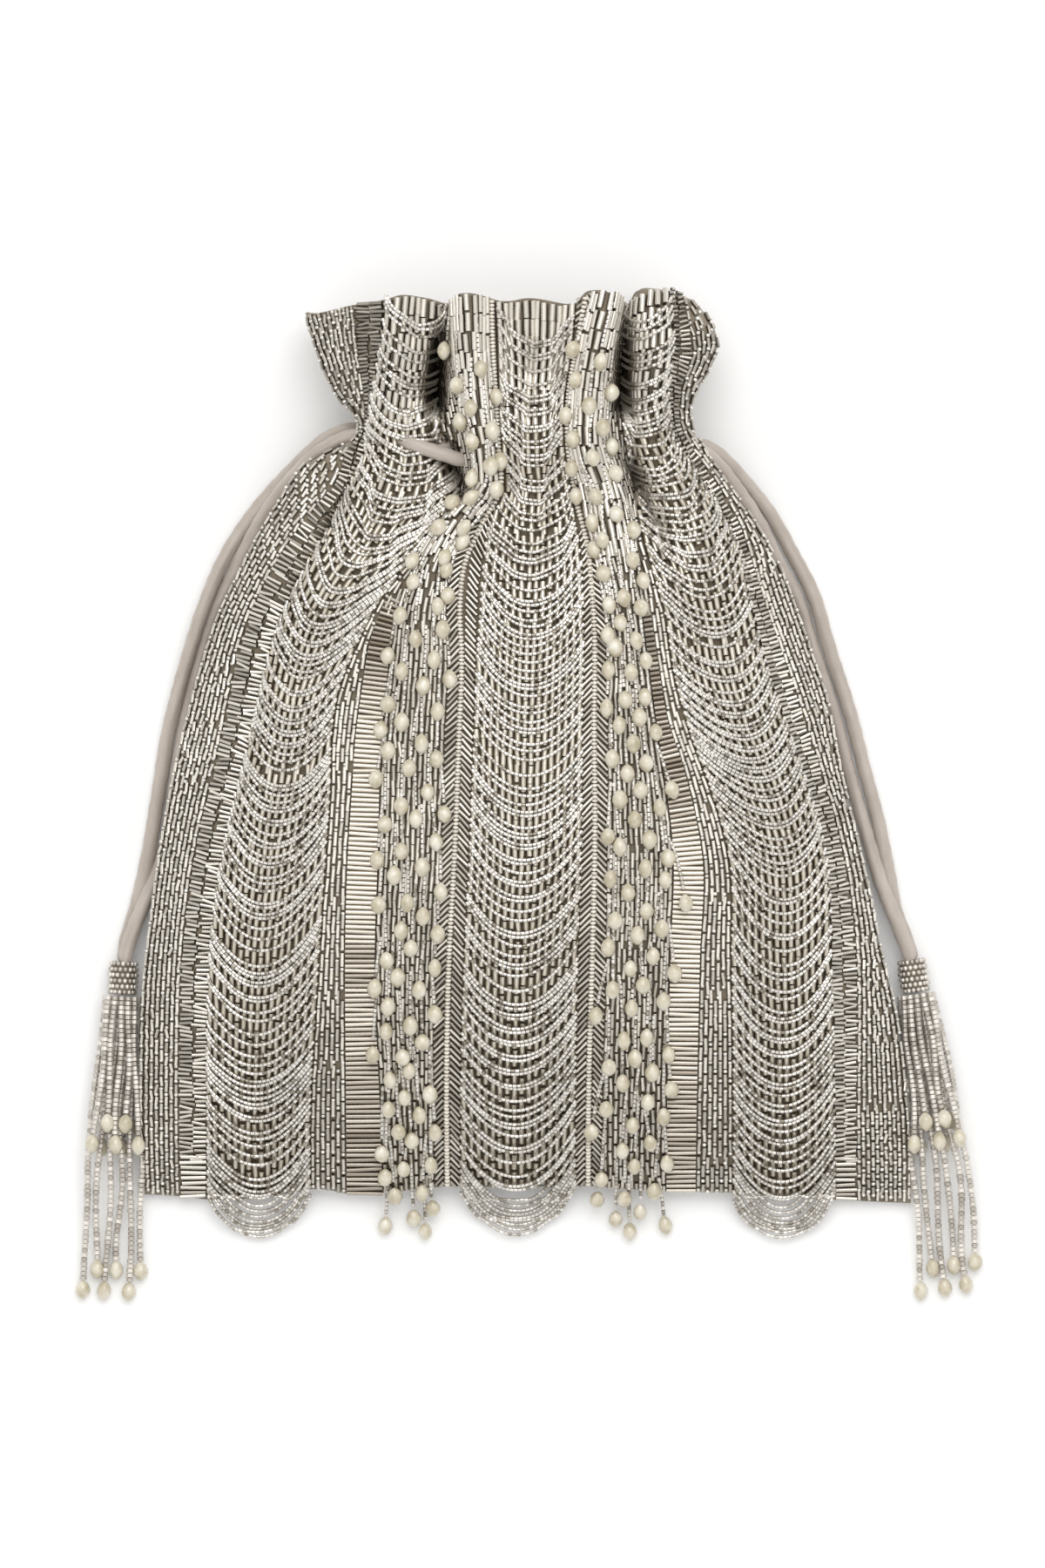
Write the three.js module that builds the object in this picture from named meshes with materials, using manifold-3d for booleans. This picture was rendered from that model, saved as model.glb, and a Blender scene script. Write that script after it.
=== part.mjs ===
// Potli bag: a beaded two-panel drawstring pouch that lies on its back.
// Millimetres. +X is to the right, +Y from the hem to the mouth, +Z up out of the beaded front.
// The origin is on the surface that the bag lies on, below the middle of the bag without its cords.
import * as THREE from "three";
import { mergeVertices } from "three/addons/utils/BufferGeometryUtils.js";
import Module from "manifold-3d";

const wasm = await Module();
wasm.setup();

// Driving dimensions of the pouch
const hemWidth = 203; // across the straight hem
const neckWidth = 88; // where the drawstrings gather the cloth
const mouthWidth = 116; // across the flared ruffle, at its wider left half taken twice
const neckHeight = 204; // from the hem to the gathered neck
const ruffleHeight = 34; // from the neck to the mouth edge
const bodyDepth = 40; // how full the pouch is at its thickest
const neckDepth = 30; // gathered cloth, front to back
const mouthDepth = 34;
const neckLift = 2; // the gathered neck is stiff and lies a little off the surface
const cornerDrop = 5; // the ruffle's outer corners fall this far below its middle

// Cloth and beadwork thicknesses
const panelThickness = 1.8; // cloth with one layer of sewn beads
const liningThickness = 0.9;
const clearance = 0.3; // between faces that touch on the real bag
const liningGap = 1.5; // the lining hangs a little loose inside the panels

// Drawstrings
const cordDiameter = 3.8;
const cordSides = 8;
const cordSteps = 58;
const cordRoom = 0.9; // spare room each side of a cord in its channel
const channelBelowNeck = 4.1; // from the gathered neck down to the middle of the channel
const channelHalfHeight = 5.4;
const channelRamp = 6; // the lining steps in over this height
const slitBelowNeck = { left: 1.7, right: 5.7 }; // where each drawstring comes out at a side seam
const slitSpare = 1.3; // above and below the cord in its slit
const slitDepthSpare = 2.7; // in front of and behind the pair of cords

// Tassels
const headLength = 9;
const headRadius = cordDiameter + clearance; // round the two cord ends, one on the other
const beadStringRadius = 0.8;
const pearlRadius = 1.8;
const pearlLength = 4.8;
const outerTierLength = 43;
const innerTierLength = 81;
const tierStagger = 5.6; // neighbours differ in length, so that their pearls pass each other
const stringPitch = 2.95; // between neighbouring strings at their pearls

// Swags and fringes on the front
const swagThickness = 2.4;
const fringeThickness = 3;
const loopDrop = 13; // how far the lowest loops and pearls hang past the hem
const hemRollOff = 9; // they have come down to the surface this far past the hem

// Numbers of grid cells
const panelColumns = 20;
const panelRows = 24;
const liningRows = 11;
const bandColumns = 4;
const bandHangRows = 3;
const stringSides = 6;
const headSides = 12;

// Shape of the lightly filled pouch, with heights as shares of the neck's height
const filledBy = 0.5; // it has its whole depth from here up
const swellPower = 2.2; // how quickly it fills out above the hem
const gatherFrom = 0.72; // the flat back turns round between these two heights
const gatherTo = 0.93;
const hemSeam = 0.5; // level of the side seams, as a share of the depth there
const bodySeam = 0.27;
const seamSettles = 0.15;
const bodyFullness = 2; // powers of the front's superellipse: 2 is an ellipse, more is squarer
const neckFullness = 3.5;
const mouthFullness = 2.6;
const flatShare = 0.5; // the middle of the back that lies flat, as a share of the half width

const cordRadius = cordDiameter / 2;
const bagHeight = neckHeight + ruffleHeight;
const hemDepth = 2 * panelThickness + 2 * clearance;
const channelMiddle = neckHeight - channelBelowNeck;

// The side outlines: height as a share of the neck's height, then how far the left and the right
// edge still are from the neck's half width, as a share of the way out to the hem's.
const bodyOutline = [
  [0, 1, 1],
  [0.08, 0.985, 0.975],
  [0.195, 0.98, 0.95],
  [0.305, 0.99, 0.873],
  [0.455, 0.925, 0.756],
  [0.57, 0.841, 0.66],
  [0.705, 0.712, 0.535],
  [0.825, 0.528, 0.375],
  [0.93, 0.3, 0.122],
  [1, 0, 0],
];

// The same for the ruffle: height above the neck as a share of the ruffle's, then the shares of the
// way from the neck's half width to the mouth's.
const ruffleOutline = [
  [0, 0, 0],
  [0.35, 0.64, 0.17],
  [0.58, 0.85, 0.42],
  [1, 1, 0.3],
];

// A straight blend between the rows of a table, by its first column.
function lookUp(table, at, column) {
  const next = table.findIndex((row) => row[0] >= at);
  if (next === 0) return table[0][column];
  if (next < 0) return table[table.length - 1][column];
  const low = table[next - 1];
  const high = table[next];
  return THREE.MathUtils.mapLinear(at, low[0], high[0], low[column], high[column]);
}

function halfWidth(y, side) {
  const column = side < 0 ? 1 : 2;
  const neck = neckWidth / 2;
  if (y <= neckHeight) {
    const share = lookUp(bodyOutline, Math.max(y, 0) / neckHeight, column);
    return neck + (hemWidth / 2 - neck) * share;
  }
  const share = lookUp(ruffleOutline, (y - neckHeight) / ruffleHeight, column);
  return neck + (mouthWidth / 2 - neck) * share;
}

// The cross-section at a height: the lowest and highest level of the cloth, the level of the side
// seams, the fullness of the front curve, and how far the back has changed from flat to round.
function section(y) {
  const { smoothstep, lerp } = THREE.MathUtils;
  const t = Math.max(y, 0) / neckHeight;
  const swell = 1 - Math.pow(1 - Math.min(t / filledBy, 1), swellPower);
  const nearNeck = smoothstep(t, gatherFrom, gatherTo);
  const flare = smoothstep(y, neckHeight, bagHeight);
  const full = lerp(hemDepth, bodyDepth, swell);
  const depth = lerp(lerp(full, neckDepth, nearNeck), mouthDepth, flare);
  const low = neckLift * nearNeck * (1 - flare);
  const lift = lerp(hemSeam, bodySeam, smoothstep(t, 0, seamSettles));
  const seam = low + depth * lerp(lift, 0.5, nearNeck);
  const power = lerp(lerp(bodyFullness, neckFullness, nearNeck), mouthFullness, flare);
  return { low, high: low + depth, seam, power, nearNeck };
}

// A point of the pouch. across runs from -1 at the left seam to 1 at the right one, measured along
// a quarter circle so that points crowd where the cloth turns down to the seam. face is 1 for the
// front and -1 for the back. inset is the distance inwards from the outermost skin.
function skin(across, y, face, inset) {
  const { low, high, seam, power, nearNeck } = section(y);
  const turn = Math.sin((Math.abs(across) * Math.PI) / 2);
  const share = face > 0 || nearNeck > 0 ? Math.pow(turn, 2 / power) : turn;
  const rise = Math.pow(Math.max(1 - Math.pow(share, power), 0), 1 / power);
  const flat = 1 - Math.pow(Math.max((share - flatShare) / (1 - flatShare), 0), 2);
  const reach = halfWidth(y, across) - inset;
  const x = Math.sign(across) * reach * share;
  if (face > 0) return new THREE.Vector3(x, y, seam + (high - seam - inset) * rise);
  const drop = THREE.MathUtils.lerp(flat, rise, nearNeck);
  return new THREE.Vector3(x, y, seam - (seam - low - inset) * drop);
}

// A closed geometry from vertices and triangles, turned the right way out.
function closedGeometry(points, triangles) {
  const a = new THREE.Vector3();
  let volume = 0;
  for (const [i, j, k] of triangles) {
    volume += a.crossVectors(points[j], points[k]).dot(points[i]);
  }
  const facing = volume < 0 ? triangles.map(([i, j, k]) => [i, k, j]) : triangles;
  const geometry = new THREE.BufferGeometry().setFromPoints(points);
  geometry.setIndex(facing.flat());
  geometry.computeVertexNormals();
  return geometry;
}

// A sheet with thickness: two grids of points, outer and inner, joined round their four borders.
function sheetSolid(outer, inner) {
  const rows = outer.length;
  const columns = outer[0].length;
  const points = [...outer.flat(), ...inner.flat()];
  const back = rows * columns;
  const triangles = [];
  const quad = (a, b, c, d) => triangles.push([a, b, c], [a, c, d]);
  for (let r = 0; r + 1 < rows; r++) {
    for (let c = 0; c + 1 < columns; c++) {
      const at = r * columns + c;
      quad(at, at + 1, at + columns + 1, at + columns);
      quad(back + at, back + at + columns, back + at + columns + 1, back + at + 1);
    }
    const left = r * columns;
    const right = left + columns - 1;
    quad(left, left + columns, back + left + columns, back + left);
    quad(right, back + right, back + right + columns, right + columns);
  }
  for (let c = 0; c + 1 < columns; c++) {
    const top = (rows - 1) * columns + c;
    quad(c, back + c, back + c + 1, c + 1);
    quad(top, top + 1, back + top + 1, back + top);
  }
  return closedGeometry(points, triangles);
}

// A solid from a stack of rings with equal numbers of points, closed by a fan at each end.
function ringSolid(rings) {
  const sides = rings[0].length;
  const middle = (ring) =>
    ring.reduce((sum, p) => sum.add(p), new THREE.Vector3()).divideScalar(sides);
  const points = [...rings.flat(), middle(rings[0]), middle(rings[rings.length - 1])];
  const first = points.length - 2;
  const last = points.length - 1;
  const base = (rings.length - 1) * sides;
  const triangles = [];
  for (let i = 0; i < sides; i++) {
    const next = (i + 1) % sides;
    for (let r = 0; r + 1 < rings.length; r++) {
      const at = r * sides;
      triangles.push([at + i, at + next, at + sides + next]);
      triangles.push([at + i, at + sides + next, at + sides + i]);
    }
    triangles.push([first, next, i], [last, base + i, base + next]);
  }
  return closedGeometry(points, triangles);
}

// A manifold solid from a geometry, and the geometry of a solid.
function toSolid(geometry) {
  const plain = geometry.clone();
  plain.deleteAttribute("normal");
  plain.deleteAttribute("uv");
  const merged = mergeVertices(plain, 1e-4);
  const vertProperties = new Float32Array(merged.attributes.position.array);
  const triVerts = new Uint32Array(merged.index.array);
  return new wasm.Manifold(new wasm.Mesh({ numProp: 3, vertProperties, triVerts }));
}

function toGeometry(solid) {
  const mesh = solid.getMesh();
  const geometry = new THREE.BufferGeometry();
  geometry.setAttribute("position", new THREE.BufferAttribute(mesh.vertProperties, 3));
  geometry.setIndex(new THREE.BufferAttribute(mesh.triVerts, 1));
  geometry.computeVertexNormals();
  return geometry;
}

function finish(color, roughness, metalness = 0) {
  return new THREE.MeshStandardMaterial({ color, roughness, metalness });
}

const beadwork = finish(0xb5b1a8, 0.35, 0.4);
const satin = finish(0xb3a79b, 0.45);
const seedBeads = finish(0xcfcfcc, 0.25, 0.4);
const pearls = finish(0xe9e2cc, 0.3);

const bag = new THREE.Group();
const cords = new THREE.Group();

function addPiece(parent, name, geometry, material) {
  const mesh = new THREE.Mesh(geometry, material);
  mesh.name = name;
  parent.add(mesh);
  return mesh;
}

// The height of the mouth edge, lower towards the ruffle's outer corners.
function mouthEdge(across) {
  return bagHeight - cornerDrop * Math.pow(across, 4);
}

// The space that a drawstring's end leaves through, at one side seam of the neck.
const slitSide = { left: -1, right: 1 };
const slitHeight = cordDiameter + 2 * slitSpare;
const slitDepth = 2 * (cordDiameter + slitDepthSpare);

function slit(side) {
  const middle = neckHeight - slitBelowNeck[side];
  const { low, high } = section(middle);
  const reach = neckWidth / 2;
  const box = new THREE.BoxGeometry(reach / 2, slitHeight, slitDepth);
  box.translate(slitSide[side] * (reach + panelThickness), middle, (low + high) / 2);
  return toSolid(box);
}

// One outer panel, with the drawstring slits cut where it meets the other at the side seams.
function panel(face) {
  const grid = (inset) =>
    Array.from({ length: panelRows + 1 }, (_, r) =>
      Array.from({ length: panelColumns + 1 }, (_, c) => {
        const across = (2 * c) / panelColumns - 1;
        const point = skin(across, (mouthEdge(across) * r) / panelRows, face, inset);
        point.z += (face * clearance) / 2;
        return point;
      }),
    );
  const outer = grid(clearance / 2);
  const inner = grid(panelThickness);
  const cut = toSolid(sheetSolid(outer, inner)).subtract(slit("left")).subtract(slit("right"));
  return toGeometry(cut);
}

addPiece(bag, "front_panel", panel(1), beadwork);
addPiece(bag, "back_panel", panel(-1), beadwork);

// The lining stands away from the panels at the neck, where the drawstrings run between them.
const channelInset = panelThickness + cordDiameter + 4 * cordRoom;

function liningInset(y) {
  const away = Math.abs(y - channelMiddle) - channelHalfHeight;
  const out = THREE.MathUtils.smoothstep(away, 0, channelRamp);
  return THREE.MathUtils.lerp(channelInset, panelThickness + liningGap, out);
}

const liningHem = 12; // the lining's own bottom seam, above the hem
const liningTopDrop = 1; // its turned edge, below the mouth edge
const cornerReach = 8; // a power: the rows follow the drooping corners only near the mouth

// Heights of the lining's rows: even ones, with extra rows where it steps in for the channel.
function liningHeights(from) {
  const top = bagHeight - liningTopDrop;
  const even = Array.from({ length: liningRows + 1 }, (_, i) => from + ((top - from) * i) / liningRows);
  const edges = [-1, 1].flatMap((way) =>
    [0, 0.5, 1].map((share) => channelMiddle + way * (channelHalfHeight + share * channelRamp)),
  );
  const clear = even.filter((y) => edges.every((edge) => Math.abs(y - edge) > 2));
  return [...clear, ...edges].sort((a, b) => a - b);
}

function lining() {
  const ring = (y, wall) =>
    Array.from({ length: 2 * panelColumns }, (_, i) => {
      const round = (2 * i) / panelColumns;
      const face = round < 2 ? 1 : -1;
      const across = face > 0 ? round - 1 : 3 - round;
      const height = y - (bagHeight - mouthEdge(across)) * Math.pow(y / bagHeight, cornerReach);
      return skin(across, height, face, liningInset(y) + wall);
    });
  const outside = liningHeights(liningHem).map((y) => ring(y, 0));
  const inside = liningHeights(liningHem + 2 * liningThickness)
    .map((y) => ring(y, liningThickness))
    .reverse();
  return ringSolid([...outside, ...inside]);
}

addPiece(bag, "lining", lining(), satin);

// Columns of strung beads over the front: their edges as shares of the half width, at the hem and
// at the neck, and how they end past the hem.
const bands = [
  { name: "swag_strings_left", hem: [-0.84, -0.57], neck: [-0.88, -0.46], thick: swagThickness },
  { name: "pearl_fringe_left", hem: [-0.38, -0.215], neck: [-0.42, -0.19], thick: fringeThickness },
  { name: "swag_strings_centre", hem: [-0.165, 0.135], neck: [-0.15, 0.22], thick: swagThickness },
  { name: "pearl_fringe_right", hem: [0.19, 0.36], neck: [0.26, 0.49], thick: fringeThickness },
  { name: "swag_strings_right", hem: [0.53, 0.8], neck: [0.55, 0.9], thick: swagThickness },
];
const bandTopShare = 0.985; // the uppermost string starts this far up, as a share of the height

function band({ hem, neck, thick }) {
  const grid = (raise) =>
    Array.from({ length: bandHangRows + panelRows + 1 }, (_, r) =>
      Array.from({ length: bandColumns + 1 }, (_, c) => {
        const over = c / bandColumns;
        const bottom = -loopDrop * Math.sin(Math.PI * (0.1 + 0.8 * over));
        const row = r - bandHangRows;
        const high = Math.min(row / panelRows, bandTopShare) * bagHeight;
        const y = row < 0 ? (bottom * -row) / bandHangRows : high;
        const up = THREE.MathUtils.clamp(y / neckHeight, 0, 1);
        const share = THREE.MathUtils.lerp(
          THREE.MathUtils.lerp(hem[0], hem[1], over),
          THREE.MathUtils.lerp(neck[0], neck[1], over),
          up,
        );
        const { power } = section(y);
        const across = Math.sign(share) * Math.asin(Math.pow(Math.abs(share), power / 2)) * (2 / Math.PI);
        const point = skin(across, Math.max(y, 0), 1, -raise);
        const past = THREE.MathUtils.smoothstep(-y, 0, hemRollOff);
        point.z = THREE.MathUtils.lerp(point.z, raise, past);
        point.y = y;
        return point;
      }),
    );
  const under = 3 * clearance;
  return sheetSolid(grid(under + thick), grid(under));
}

for (const column of bands) {
  const material = column.thick === fringeThickness ? pearls : seedBeads;
  addPiece(bag, column.name, band(column), material);
}

// The left drawstring, from the tassel up the outer strand, through the left slit, along the back
// run of the channel, round its far end, along the front run and back down the inner strand.
const leftRoute = [
  [-107.2, 62.2, 2.3],
  [-106.6, 67.0, 2.2],
  [-104.1, 75.2, 2.2],
  [-100.9, 88.6, 2.2],
  [-97.2, 111.1, 2.2],
  [-95.2, 123.7, 2.2],
  [-88.9, 147.4, 2.2],
  [-85.9, 156.4, 2.2],
  [-80.2, 168.6, 2.2],
  [-72.2, 180.8, 4.2],
  [-60.0, 194.6, 9.2],
  [-53.6, 201.2, 12.6],
  [-48.6, 203.0, 13.8],
  [-44.5, 203.1, 13.4],
  [-40.0, 202.8, 11.4],
  [-35.0, 202.5, 8.6],
  [-28.0, 202.3, 6.8],
  [-9.0, 202.3, 6.6],
  [10.0, 202.3, 6.6],
  [27.5, 202.3, 6.6],
  [36.4, 202.3, 10.2],
  [39.7, 202.3, 17.0],
  [36.4, 202.3, 23.8],
  [27.5, 202.3, 27.4],
  [10.0, 202.3, 27.4],
  [-9.0, 202.3, 27.4],
  [-28.0, 202.3, 27.2],
  [-35.0, 202.3, 25.4],
  [-40.0, 202.3, 22.5],
  [-44.5, 202.0, 19.8],
  [-48.6, 202.2, 18.4],
  [-53.6, 200.5, 17.0],
  [-60.4, 194.5, 13.6],
  [-71.0, 179.8, 8.1],
  [-76.9, 166.8, 4.0],
  [-82.0, 154.8, 2.2],
  [-85.0, 146.2, 2.2],
  [-91.2, 123.0, 2.2],
  [-93.2, 110.4, 2.2],
  [-96.9, 88.4, 2.2],
  [-102.0, 76.2, 5.4],
  [-105.6, 66.6, 6.4],
  [-106.6, 62.2, 6.5],
];

// The right drawstring the same way round from the right.
const rightRoute = [
  [101.8, 62.7, 2.3],
  [100.6, 66.9, 2.2],
  [97.4, 75.4, 2.2],
  [96.0, 83.4, 2.2],
  [93.0, 98.7, 2.2],
  [89.2, 112.9, 2.2],
  [85.6, 126.9, 2.2],
  [79.8, 144.8, 2.2],
  [75.8, 158.5, 2.2],
  [70.7, 169.3, 2.2],
  [65.4, 179.7, 4.2],
  [59.0, 188.0, 7.4],
  [53.4, 194.2, 10.8],
  [49.0, 197.6, 13.0],
  [44.9, 198.5, 13.2],
  [40.2, 198.2, 11.4],
  [35.0, 197.7, 8.6],
  [28.0, 197.5, 6.8],
  [9.0, 197.5, 6.6],
  [-12.0, 197.5, 6.6],
  [-33.5, 197.4, 6.6],
  [-43.3, 197.4, 10.2],
  [-47.0, 197.4, 17.0],
  [-43.3, 197.4, 23.8],
  [-33.5, 197.4, 27.4],
  [-12.0, 197.5, 27.4],
  [9.0, 197.5, 27.4],
  [28.0, 197.5, 27.2],
  [35.0, 197.5, 25.4],
  [40.2, 197.9, 22.5],
  [44.9, 198.0, 19.9],
  [49.0, 197.0, 18.2],
  [53.4, 193.8, 15.4],
  [58.6, 187.4, 11.8],
  [63.2, 178.8, 7.8],
  [67.4, 167.6, 4.4],
  [71.8, 157.2, 2.2],
  [75.8, 143.8, 2.2],
  [81.6, 126.0, 2.2],
  [85.2, 112.0, 2.2],
  [89.2, 97.9, 2.4],
  [93.4, 83.0, 5.1],
  [97.9, 71.5, 6.3],
  [101.2, 62.7, 6.5],
];

function cord(route) {
  const path = new THREE.CatmullRomCurve3(
    route.map((point) => new THREE.Vector3(...point)),
    false,
    "centripetal",
  );
  const round = new THREE.Shape();
  for (let i = 0; i < cordSides; i++) {
    const angle = (2 * Math.PI * i) / cordSides;
    round[i ? "lineTo" : "moveTo"](cordRadius * Math.cos(angle), cordRadius * Math.sin(angle));
  }
  round.closePath();
  return new THREE.ExtrudeGeometry(round, { steps: cordSteps, extrudePath: path, bevelEnabled: false });
}

addPiece(cords, "drawstring_left", cord(leftRoute), satin);
addPiece(cords, "drawstring_right", cord(rightRoute), satin);

// A bead string with its end pearl: a lathe down the -Y axis, leaned sideways and in height.
function beadString(length, lean, level) {
  const pearlTop = length - pearlLength;
  const profile = [
    [0, 0],
    [beadStringRadius, 0],
    [beadStringRadius, 0.35 * length],
    [beadStringRadius, 0.7 * length],
    [beadStringRadius, pearlTop],
    [0.8 * pearlRadius, pearlTop + 0.2 * pearlLength],
    [pearlRadius, pearlTop + 0.5 * pearlLength],
    [0.75 * pearlRadius, pearlTop + 0.8 * pearlLength],
    [0, length],
  ];
  const outline = profile.map(([radius, down]) => new THREE.Vector2(radius, -down));
  const lathe = new THREE.LatheGeometry(outline.reverse(), stringSides);
  const position = lathe.attributes.position;
  for (let i = 0; i < position.count; i++) {
    const down = -position.getY(i);
    position.setX(i, position.getX(i) + lean(down));
    position.setZ(i, position.getZ(i) + level(down));
  }
  return lathe;
}

// Rows of strings in a tassel, from the surface up. at gives each string's place in its row, as a
// count of pitches from the middle. The inner tier lies on the lower pearls of the outer one and
// comes down to the surface past them.
const rowLevels = { lower: 2.2, inner: 4.7, upper: 7.2 };
const surfaceLevel = pearlRadius + clearance / 2;
const innerLevel = surfaceLevel + pearlRadius + beadStringRadius + 1.5 * clearance;
const upperLevel = innerLevel + beadStringRadius + pearlRadius + clearance;
const tasselRows = [
  { tier: "outer", row: "lower", at: [-1.5, -0.5, 0.5, 1.5], length: outerTierLength },
  { tier: "inner", row: "inner", at: [-2.5, -1.5, -0.5, 0.5, 1.5, 2.5], length: innerTierLength },
  { tier: "outer", row: "upper", at: [-2, -1, 0, 1, 2], length: outerTierLength - 1 },
];
const headGap = 0.5; // below the slanting cord ends
const rootPitch = 1.75; // between neighbouring strings where they leave the head
const straighten = 0.4; // how far the long strings turn back to straight down past the short ones
const pearlLevels = { lower: surfaceLevel, inner: innerLevel, upper: upperLevel };

function tassel(side, route, turn) {
  const [x0, y] = route[0];
  const [x1] = route[route.length - 1];
  const group = new THREE.Group();
  group.position.set((x0 + x1) / 2, y - headGap, 0);
  group.rotation.z = turn;
  const headOutline = [
    [0, 0],
    [0.78 * headRadius, 0],
    [0.95 * headRadius, -1.2],
    [headRadius, -0.55 * headLength],
    [headRadius, -headLength + 0.8],
    [0.9 * headRadius, -headLength],
    [0, -headLength],
  ].map(([radius, down]) => new THREE.Vector2(radius, down));
  const head = new THREE.LatheGeometry(headOutline.reverse(), headSides);
  head.translate(0, 0, headRadius + clearance / 2);
  addPiece(group, "tassel_head_" + side, head, seedBeads);
  const counts = { outer: 0, inner: 0 };
  for (const { tier, row, at, length } of tasselRows) {
    at.forEach((place, i) => {
      const own = length - (i % 2) * tierStagger;
      const bend = Math.min(outerTierLength + 2, own);
      const spread = (down) => THREE.MathUtils.lerp(rootPitch, stringPitch, Math.min(down / bend, 1));
      const lean = (down) =>
        place * spread(down) - straighten * Math.max(down - bend, 0) * Math.tan(turn);
      const level = (down) => {
        const near = THREE.MathUtils.lerp(rowLevels[row], pearlLevels[row], Math.min(down / bend, 1));
        const far = THREE.MathUtils.clamp((down - bend) / (own - bend - pearlLength), 0, 1);
        return own > bend ? THREE.MathUtils.lerp(near, surfaceLevel, far) : near;
      };
      counts[tier] += 1;
      const name = ["tassel", side, tier, counts[tier]].join("_");
      const string = addPiece(group, name, beadString(own, lean, level), seedBeads);
      string.position.y = -headLength - clearance;
    });
  }
  cords.add(group);
}

tassel("left", leftRoute, THREE.MathUtils.degToRad(-2.5));
tassel("right", rightRoute, THREE.MathUtils.degToRad(8));

// The whole part, moved so that the bag without its cords stands over the origin.
const part = new THREE.Group();
part.add(bag, cords);
const extent = new THREE.Box3().setFromObject(bag);
const middle = extent.getCenter(new THREE.Vector3());
part.position.set(-middle.x, -middle.y, -extent.min.z);

export default part;
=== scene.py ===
# %% [markdown]
# # A beaded potli bag, lying on its back
#
# A potli is a small gathered pouch that closes with two drawstrings. The front of this one is sewn
# all over with glass bugles, and over them hang swags of strung seed beads and short strands that
# end in rice pearls. Each drawstring ends in a bead tassel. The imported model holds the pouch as
# plain solids; this lesson makes every cloth, cord and bead that shows.

import math

import bpy
import numpy as np
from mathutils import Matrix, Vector


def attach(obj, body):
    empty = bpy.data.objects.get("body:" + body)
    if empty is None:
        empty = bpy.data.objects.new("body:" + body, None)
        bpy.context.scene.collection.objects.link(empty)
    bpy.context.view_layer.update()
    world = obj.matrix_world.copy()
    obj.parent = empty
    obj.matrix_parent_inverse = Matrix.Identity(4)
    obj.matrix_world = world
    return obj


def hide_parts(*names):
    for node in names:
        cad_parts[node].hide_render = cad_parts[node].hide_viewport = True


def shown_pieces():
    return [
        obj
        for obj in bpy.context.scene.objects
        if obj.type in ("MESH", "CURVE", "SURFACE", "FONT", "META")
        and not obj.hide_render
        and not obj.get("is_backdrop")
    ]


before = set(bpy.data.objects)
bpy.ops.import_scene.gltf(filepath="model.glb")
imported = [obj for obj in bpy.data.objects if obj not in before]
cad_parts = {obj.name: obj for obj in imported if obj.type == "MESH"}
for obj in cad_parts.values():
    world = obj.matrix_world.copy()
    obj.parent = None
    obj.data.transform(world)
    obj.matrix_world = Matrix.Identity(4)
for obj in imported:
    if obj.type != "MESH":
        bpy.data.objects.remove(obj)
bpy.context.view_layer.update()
scene = bpy.context.scene
print("nodes in the packed model:", len(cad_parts))

# %% [markdown]
# The photograph looks straight down on the bag, so one scale turns its pixels into metres on the
# table. Rice pearls of 5 mm and seed beads of 1.2 mm give 0.23 mm for a pixel. Two small helpers
# carry a place in the picture to a place on the bag, and everything below is measured with them.

# %% Picture places and lengths
MM = 0.001
PIXEL = 0.23 * MM
PIXEL_OVER_ORIGIN = (606.0, 882.9)
PICTURE_MIDDLE = (600.0, 900.0)
PICTURE_HEIGHT = 1800
HEM_BELOW_ORIGIN = 112.5 * MM


def across(px):
    """x on the bag: pixels to the right of the origin's column, times the size of a pixel."""
    return (np.asarray(px, float) - PIXEL_OVER_ORIGIN[0]) * PIXEL


def upward(py):
    """y on the bag: pixels above the origin's row, times the size of a pixel."""
    return (PIXEL_OVER_ORIGIN[1] - np.asarray(py, float)) * PIXEL


def picture_place(x, y):
    """The inverse of across and upward: the pixel column and row over a point of the bag."""
    return x / PIXEL + PIXEL_OVER_ORIGIN[0], PIXEL_OVER_ORIGIN[1] - y / PIXEL


def blend(a, b, share):
    """a at share 0, b at share 1, and a straight line between."""
    return a + (b - a) * share


def ease(value, start, end):
    """0 before start, 1 after end, and 3t2 - 2t3 of the share t between them."""
    t = np.clip((value - start) / (end - start), 0.0, 1.0)
    return t * t * (3 - 2 * t)


# %% [markdown]
# A long lens far above the table keeps the bag's outline free of perspective, as a product
# photographer does. The lens is worked out so that the picture's height covers 1800 pixels of
# 0.23 mm at the middle of the bag's thickness.

# %% Camera
CAMERA_DISTANCE = 4.0
BAG_MIDDLE_HEIGHT = 20 * MM
SENSOR_WIDTH = 36.0

camera_data = bpy.data.cameras.new("camera")
camera_data.sensor_width = SENSOR_WIDTH
camera_data.lens = SENSOR_WIDTH * CAMERA_DISTANCE / (PICTURE_HEIGHT * PIXEL)
camera_data.clip_start = 0.1
camera_data.clip_end = 30.0
camera = bpy.data.objects.new("camera", camera_data)
camera.location = (
    across(PICTURE_MIDDLE[0]), upward(PICTURE_MIDDLE[1]), BAG_MIDDLE_HEIGHT + CAMERA_DISTANCE
)
scene.collection.objects.link(camera)
scene.camera = camera
print("lens", round(camera_data.lens, 1), "mm")

# %% [markdown]
# Every piece below is worked out as whole arrays of points and faces. One helper puts such arrays
# into a mesh, smooths it, gives it its finish and lets it ride on the bag. Numbers that vary from
# bead to bead travel along as named attributes, which the materials read.

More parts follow.
